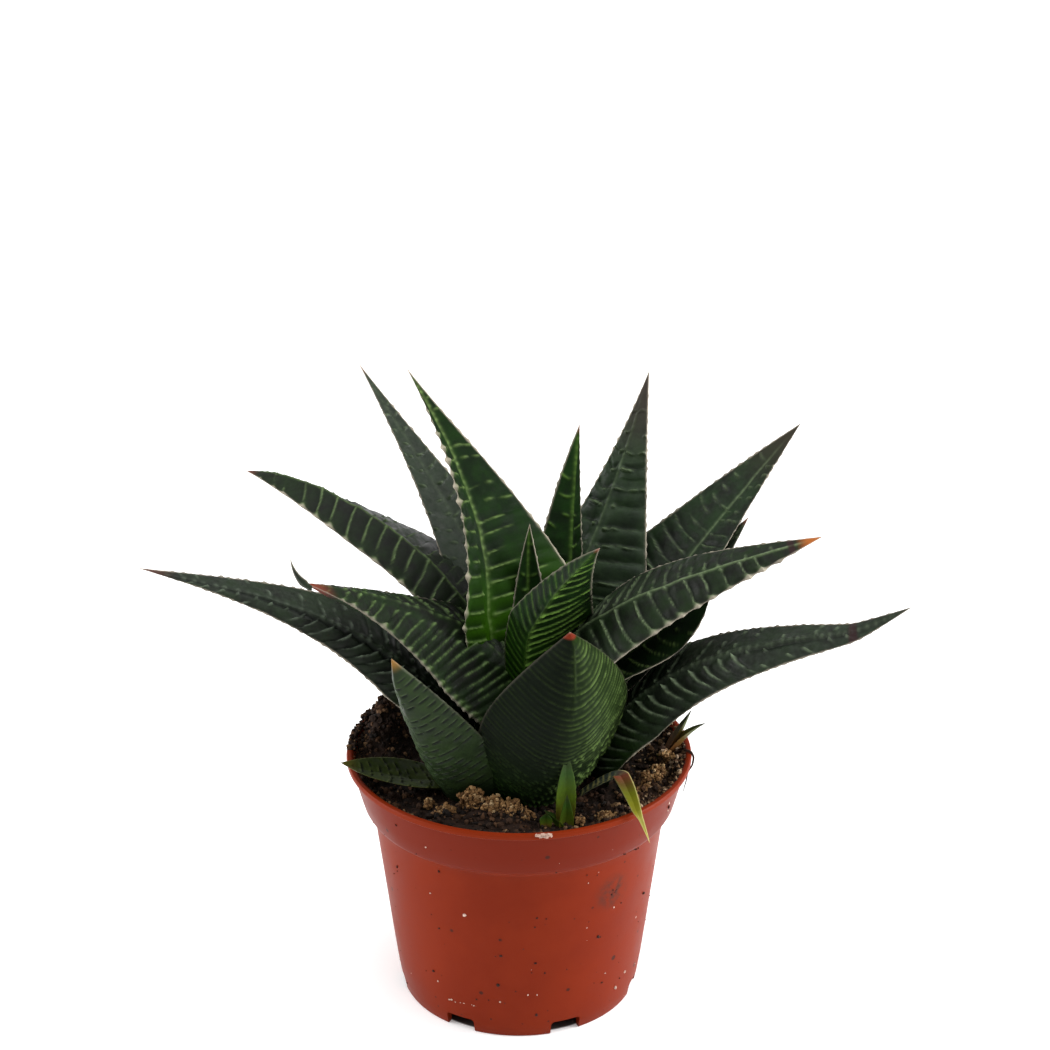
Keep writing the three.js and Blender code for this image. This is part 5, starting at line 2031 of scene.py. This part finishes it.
@dataclass
class Pot:
    """The moulded nursery pot with its lip, ledge, notched foot and drain holes.

    outline is the wall's section as radius and height, from the underside out, up and over
    the lip, and down the inside. Its first outside_from to outside_to points are what dirt
    can stick to.
    """

    plant: PlantFrame
    effects: Effects
    sides: int = 216
    notches: int = 7
    first_notch: float = -67.5
    notch_width: float = 7.6
    notch_height: float = 3.8
    notch_depth: float = 10.0
    notch_radius: float = 29.5
    notch_round: float = 0.9
    drain_radius: float = 3.2
    drain_circle: float = 17.0
    drain_depth: float = 6.0
    floor_under: float = 4.4
    floor_top: float = 5.6
    crease_angle: float = 38.0
    outside_from: int = 7
    outside_to: int = 30
    outline: tuple[tuple[float, float], ...] = (
        (26.9, 4.4), (27.6, 3.4), (27.95, 0.5), (28.15, 0.12), (28.4, 0.0), (29.1, 0.0), (29.4, 0.12),
        (29.62, 0.5), (30.2, 3.5), (30.6, 6.0), (31.05, 9.0), (32.2, 18.0), (33.45, 28.0), (34.7, 38.0),
        (35.9, 47.6), (36.15, 49.3), (36.3, 49.8), (36.6, 50.15), (37.1, 50.42), (37.7, 50.75), (38.12, 51.3),
        (38.6, 52.2), (39.6, 55.8), (40.6, 59.6), (41.25, 61.9), (41.42, 62.5), (41.7, 62.75), (42.2, 62.8),
        (42.43, 63.0), (42.5, 63.4), (42.45, 63.85), (42.2, 64.18), (41.7, 64.3), (41.2, 64.22),
        (40.85, 63.95), (40.6, 63.4), (40.1, 61.7), (39.3, 58.5), (37.3, 51.2), (36.9, 50.3), (35.3, 50.0),
        (34.95, 49.4), (33.5, 37.5), (32.3, 28.0), (31.1, 18.0), (29.95, 9.0), (29.3, 7.0), (28.2, 5.9),
        (26.5, 5.6),
    )
    marks: tuple[Mark, ...] = (
        Mark(-131, 15.4, 0.4, 0.2), Mark(-97.5, 25.4, 0.5, 0.3), Mark(-83, 23.2, 0.36, 0.1),
        Mark(-55, 27.3, 0.55, 0.4), Mark(-99, 16.3, 0.5, 0.3), Mark(-136, 58.7, 0.4, 0.2),
        Mark(-122, 47.5, 0.36, 0.2), Mark(-82, 6.9, 0.45, 0.3), Mark(-147, 42.1, 0.4, 0.2),
        Mark(-26, 31.9, 0.4, 0.3), Mark(-112, 36.3, 0.42, 0.95), Mark(-129, 12.7, 0.26, 0.9),
        Mark(-123.6, 55.6, 0.28, 0.95), Mark(-98.5, 11.0, 0.3, 0.9), Mark(-86, 13.4, 0.24, 0.9),
        Mark(-82, 13.2, 0.24, 0.9), Mark(-48.3, 14.5, 0.28, 0.9), Mark(-39.5, 7.7, 0.55, 0.9),
        Mark(-33, 10.5, 0.4, 0.85), Mark(-27, 59.2, 0.45, 0.9), Mark(-26, 57.8, 0.5, 0.3),
        Mark(-25.4, 56.4, 0.4, 0.9),
    )
    streaks: tuple[Streak, ...] = (
        Streak((-50, 51.4), (-37, 48.6), 16, 0.16, 0.15),
        Streak((-49.8, 38.5), (-47, 40.0), 6, 0.16, 0.15),
        Streak((-124, 8.2), (-110, 8.6), 9, 0.12, 0.85),
        Streak((-84.4, 64.15), (-79.8, 64.12), 34, 0.26, 0.85),
        Streak((-83.6, 63.8), (-80.6, 63.8), 20, 0.22, 0.85),
    )
    loose_marks: int = 150
    finish: PotFinish = PotFinish()
    dirt: CrumbFinish = CrumbFinish("stuck soil", (
        (0.0, (0.02, 0.01, 0.009)), (0.72, (0.05, 0.022, 0.016)), (0.8, (0.42, 0.26, 0.2)),
        (1.0, (0.7, 0.54, 0.46)),
    ))

    def build(self) -> list[bpy.types.Object]:
        """Makes the pot and the dirt that sticks to it.

        Returns:
            The pieces.
        """
        pot = self.turned()
        self.cut(pot)
        pot.data.polygons.foreach_set("use_smooth", np.ones(len(pot.data.polygons), bool))
        pot.data.set_sharp_from_angle(angle=math.radians(self.crease_angle))
        finish_piece(pot, self.finish.material(self.effects, self.plant), "pot", "pot")
        dirt = crumb_cloud("pot_dirt", self.plant, self.stuck(), 31)
        finish_piece(dirt, self.dirt.material(self.effects), "soil")
        return [pot, dirt]

    def turned(self) -> bpy.types.Object:
        """The pot's wall turned about its axis, with a floor."""
        turn = full_turn(self.sides)
        rings = self.plant.metres([about_axis(radius, turn, height) for radius, height in self.outline])
        last, first = self.plant.metres([[0, 0, self.floor_top], [0, 0, self.floor_under]])
        return ringed("nursery_pot", rings, last, first)

    def cutter(self) -> bpy.types.Object:
        """The blocks and rods that the notches and drain holes are cut with.

        Returns:
            All of them in one object.
        """
        tool = bmesh.new()
        for number in range(self.notches):
            spin = Matrix.Rotation(math.radians(self.first_notch + 360 / self.notches * number), 4, "Z")
            block = bmesh.ops.create_cube(tool, size=1.0)["verts"]
            size = (self.notch_depth * MM, self.notch_width * MM, 2 * self.notch_height * MM)
            bmesh.ops.scale(tool, vec=size, verts=block)
            edges = {e for v in block for e in v.link_edges}
            level = [e for e in edges if abs((e.verts[0].co - e.verts[1].co).normalized().x) > 0.9]
            done = bmesh.ops.bevel(
                tool, geom=level, offset=self.notch_round * MM, segments=4, affect="EDGES", profile=0.5
            )
            block = list({v for f in done["faces"] for v in f.verts} | {v for v in block if v.is_valid})
            bmesh.ops.translate(tool, vec=(self.notch_radius * MM, 0, 0), verts=block)
            bmesh.ops.transform(tool, matrix=spin, verts=block)
            radius = self.drain_radius * MM
            rod = bmesh.ops.create_cone(
                tool, cap_ends=True, segments=32, radius1=radius, radius2=radius, depth=self.drain_depth * MM
            )["verts"]
            bmesh.ops.translate(tool, vec=(self.drain_circle * MM, 0, self.floor_under * MM), verts=rod)
            bmesh.ops.transform(tool, matrix=spin, verts=rod)
        bmesh.ops.translate(tool, vec=(self.plant.x, self.plant.y, 0), verts=tool.verts)
        mesh = bpy.data.meshes.new("cutter")
        tool.to_mesh(mesh)
        tool.free()
        return add_object("cutter", mesh)

    def cut(self, pot: bpy.types.Object) -> None:
        """Cuts the foot's notches and the floor's drain holes.

        Args:
            pot: The pot.
        """
        cutter = self.cutter()
        cut = pot.modifiers.new("cut", "BOOLEAN")
        cut.operation = "DIFFERENCE"
        cut.solver = "EXACT"
        cut.object = cutter
        seen = bpy.context.evaluated_depsgraph_get()
        result = bpy.data.meshes.new_from_object(pot.evaluated_get(seen))
        pot.modifiers.clear()
        pot.data = result
        bpy.data.objects.remove(cutter)

    def surface(self, turn: np.ndarray, height: np.ndarray) -> np.ndarray:
        """Points on the outside of the wall."""
        line = np.array(self.outline[self.outside_from:self.outside_to])
        return about_axis(np.interp(height, line[:, 1], line[:, 0]), np.radians(turn), height)

    def stuck(self) -> Cloud:
        """Scatters the soil that is stuck to the wall and the lip.

        Returns:
            The crumbs' places, sizes and tones.
        """
        draw = np.random.default_rng(41)
        count = self.loose_marks
        turn = draw.random(count) * 360
        height = 1.5 + 56 * draw.random(count) ** 1.3
        places = [self.surface(turn, height)]
        sizes = [0.09 + 0.22 * draw.random(count) ** 2]
        tones = [np.where(draw.random(count) < 0.82, 0.3, 0.95)]
        places.append(self.surface(*np.array([[mark.turn, mark.height] for mark in self.marks]).T))
        sizes.append([mark.size for mark in self.marks])
        tones.append([mark.tone for mark in self.marks])
        for streak in self.streaks:
            share = np.sort(draw.random(streak.crumbs))[:, None]
            start, end = np.array(streak.start), np.array(streak.end)
            spots = self.surface(*(start + (end - start) * share).T)
            places.append(spots + draw.normal(0, 0.12, spots.shape))
            sizes.append(streak.size + 0.2 * draw.random(streak.crumbs))
            tones.append(np.full(streak.crumbs, streak.tone))
        return np.vstack(places), np.concatenate(sizes), np.concatenate(tones)


@dataclass
class RootFibre:
    """A dry root that hangs out over the rim."""

    plant: PlantFrame
    effects: Effects
    path: tuple[Triple, ...] = (
        (35.0, 1.0, 61.5), (38.5, -0.8, 63.4), (40.8, -2.0, 64.75), (42.2, -2.6, 64.7), (42.85, -3.0, 63.4),
        (42.6, -3.6, 61.6), (41.4, -4.6, 60.0), (40.9, -5.6, 57.6), (40.2, -6.4, 55.4),
    )
    radius: float = 0.34
    steps: int = 60
    around: int = 8
    tone: float = 0.3
    finish: CrumbFinish = CrumbFinish(
        "dry root", ((0.0, (0.02, 0.01, 0.008)), (0.6, (0.05, 0.025, 0.018)), (1.0, (0.12, 0.07, 0.05)))
    )

    def build(self) -> list[bpy.types.Object]:
        """Makes the fibre as a thin tapering tube.

        Returns:
            The fibre, as the only piece.
        """
        spots = np.array(self.path)
        share = np.linspace(0, len(spots) - 1, self.steps)
        line = np.stack([np.interp(share, np.arange(len(spots)), spots[:, axis]) for axis in range(3)], -1)
        for _ in range(3):
            line[1:-1] = (line[:-2] + 2 * line[1:-1] + line[2:]) / 4
        line[1:-1] += 0.1 * np.stack([lattice_noise(line[1:-1] * 0.8, seed) for seed in (51, 52, 53)], -1)
        way = np.gradient(line, axis=0)
        way /= np.linalg.norm(way, axis=1)[:, None]
        side = np.cross(way, np.array([0.0, 1.0, 0.0]))
        side /= np.linalg.norm(side, axis=1)[:, None]
        other = np.cross(way, side)
        turn = full_turn(self.around)[None, :, None]
        wide = self.radius * (1 - 0.75 * np.linspace(0, 1, len(line)) ** 2)[:, None, None]
        rings = line[:, None] + wide * (side[:, None] * np.cos(turn) + other[:, None] * np.sin(turn))
        last, first = self.plant.metres(line[[-1, 0]])
        piece = ringed("root_fibre", self.plant.metres(rings), last, first)
        write_tones(piece, np.full(len(piece.data.vertices), self.tone))
        finish_piece(piece, self.finish.material(self.effects), "soil")
        return [piece]


@dataclass(frozen=True)
class Lamp:
    """A soft lamp: its name, place and size in metres, and its power."""

    name: str
    place: Triple
    size: float
    power: float


@dataclass
class Studio:
    """The pale floor, the soft lights and the camera.

    distance and aim_height are millimetres and pitch is the camera's tilt. floor_size and
    the lamps' places are metres. Under the pot the floor has a painted shadow: it is painted
    dark and doesn't glow, out to painted_shadow_edge.
    """

    plant: PlantFrame
    distance: float = 600.0
    pitch: float = 23.33
    aim_height: float = 124.1
    camera_x: float = 1.48
    lens: float = 86.8
    floor_size: float = 12.0
    floor_glow: float = 0.16
    # The painted shadow under the pot: its colour and how far out it reaches.
    shade: Colour = (0.05, 0.04, 0.035)
    painted_shadow_edge: tuple[float, float] = (27.5, 28.3)
    white: Colour = (0.95, 0.95, 0.95)
    room: float = 0.46
    sun_way: Triple = (0.24, -0.12, 0.95)
    sun_power: float = 2.3
    sun_angle: float = 85.0
    lamp_aim: Triple = (0.0, 0.0, 0.08)
    lamps: tuple[Lamp, ...] = (
        Lamp("left lamp", (-0.75, 0.0, 0.3), 0.5, 6.0),
        Lamp("right lamp", (0.75, 0.02, 0.3), 0.5, 9.0),
    )

    def build(self) -> None:
        """Makes everything that isn't part of the object."""
        self.floor()
        self.lights()
        self.camera()

    def floor(self) -> None:
        """A large pale floor, with a painted shadow under the pot."""
        size = self.floor_size
        points = np.array([[-size, -size, 0], [size, -size, 0], [size, size, 0], [-size, size, 0]])
        floor = add_mesh("floor", points, np.array([[0, 1, 2, 3]]))
        material, nodes, surface = new_material("pale floor", 0.5)
        # Painted shadow: under the pot the floor is painted dark and its glow is left off.
        away = nodes.distance(nodes.place(), self.plant.metres((0, 0, 0)))
        open_floor = nodes.spread(away, *self.painted_shadow_edge)
        nodes.feed(surface, "Base Color", nodes.blend(open_floor, self.shade, self.white))
        nodes.feed(surface, "Roughness", 0.8)
        nodes.feed(surface, "Emission Color", nodes.blend(open_floor, (0.0, 0.0, 0.0), (1.0, 1.0, 1.0)))
        nodes.feed(surface, "Emission Strength", self.floor_glow)
        floor.data.materials.append(material)

    def lights(self) -> None:
        """An even white room with a broad light from above and soft lamps at both sides."""
        world = bpy.data.worlds.new("studio")
        bpy.context.scene.world = world
        world.use_nodes = True
        backdrop = world.node_tree.nodes["Background"]
        backdrop.inputs["Color"].default_value = (1.0, 1.0, 1.0, 1.0)
        backdrop.inputs["Strength"].default_value = self.room
        data = bpy.data.lights.new("sky window", "SUN")
        data.energy = self.sun_power
        data.angle = math.radians(self.sun_angle)
        sun = add_object("sky window", data)
        sun.rotation_euler = Vector(self.sun_way).to_track_quat("Z", "Y").to_euler()
        for lamp in self.lamps:
            data = bpy.data.lights.new(lamp.name, "AREA")
            data.size = lamp.size
            data.energy = lamp.power
            light = add_object(lamp.name, data)
            light.location = lamp.place
            way = Vector(self.lamp_aim) - Vector(lamp.place)
            light.rotation_euler = way.to_track_quat("-Z", "Y").to_euler()

    def camera(self) -> None:
        """The camera, level from side to side and looking down on the plant."""
        pitch = math.radians(self.pitch)
        data = bpy.data.cameras.new("camera")
        data.lens = self.lens
        data.sensor_width = 36.0
        data.clip_start = 0.01
        camera = add_object("camera", data)
        behind, above = self.distance * math.cos(pitch), self.distance * math.sin(pitch)
        camera.location = self.plant.metres((self.camera_x, -behind, self.aim_height + above))
        camera.rotation_euler = (math.pi / 2 - pitch, 0, 0)
        bpy.context.scene.camera = camera
        bpy.context.scene.view_settings.view_transform = "Standard"


def dress_stem(effects: Effects) -> bpy.types.Object:
    """Gives the hidden stem the look of old leaf bases.

    Args:
        effects: The shared node groups.

    Returns:
        The stem.
    """
    bands = ((0.0, (0.06, 0.07, 0.02)), (1.0, (0.12, 0.14, 0.04)))
    finish = BandedLeafFinish("stem", bands, margin=(0.2, 0.2, 0.08), roughness=0.6)
    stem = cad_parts["stem"]
    stem.data.materials.clear()
    stem.data.materials.append(finish.material(effects))
    return stem


def main() -> None:
    """Builds the sub-assemblies in order and reports their pieces."""
    logging.basicConfig(level=logging.INFO, format="%(name)s: %(message)s")
    plant = PlantFrame.from_pot()
    effects = Effects()
    Studio(plant).build()
    pieces = Pot(plant, effects).build()
    pieces += Soil(plant, effects).build()
    pieces.append(dress_stem(effects))
    pieces += Rosette(plant, effects).build()
    pieces += Offsets(plant, effects).build()
    pieces += RootFibre(plant, effects).build()
    for piece in pieces:
        LOG.info("%s: %d corners", piece.name, len(piece.data.vertices))


if __name__ == "__main__":
    main()
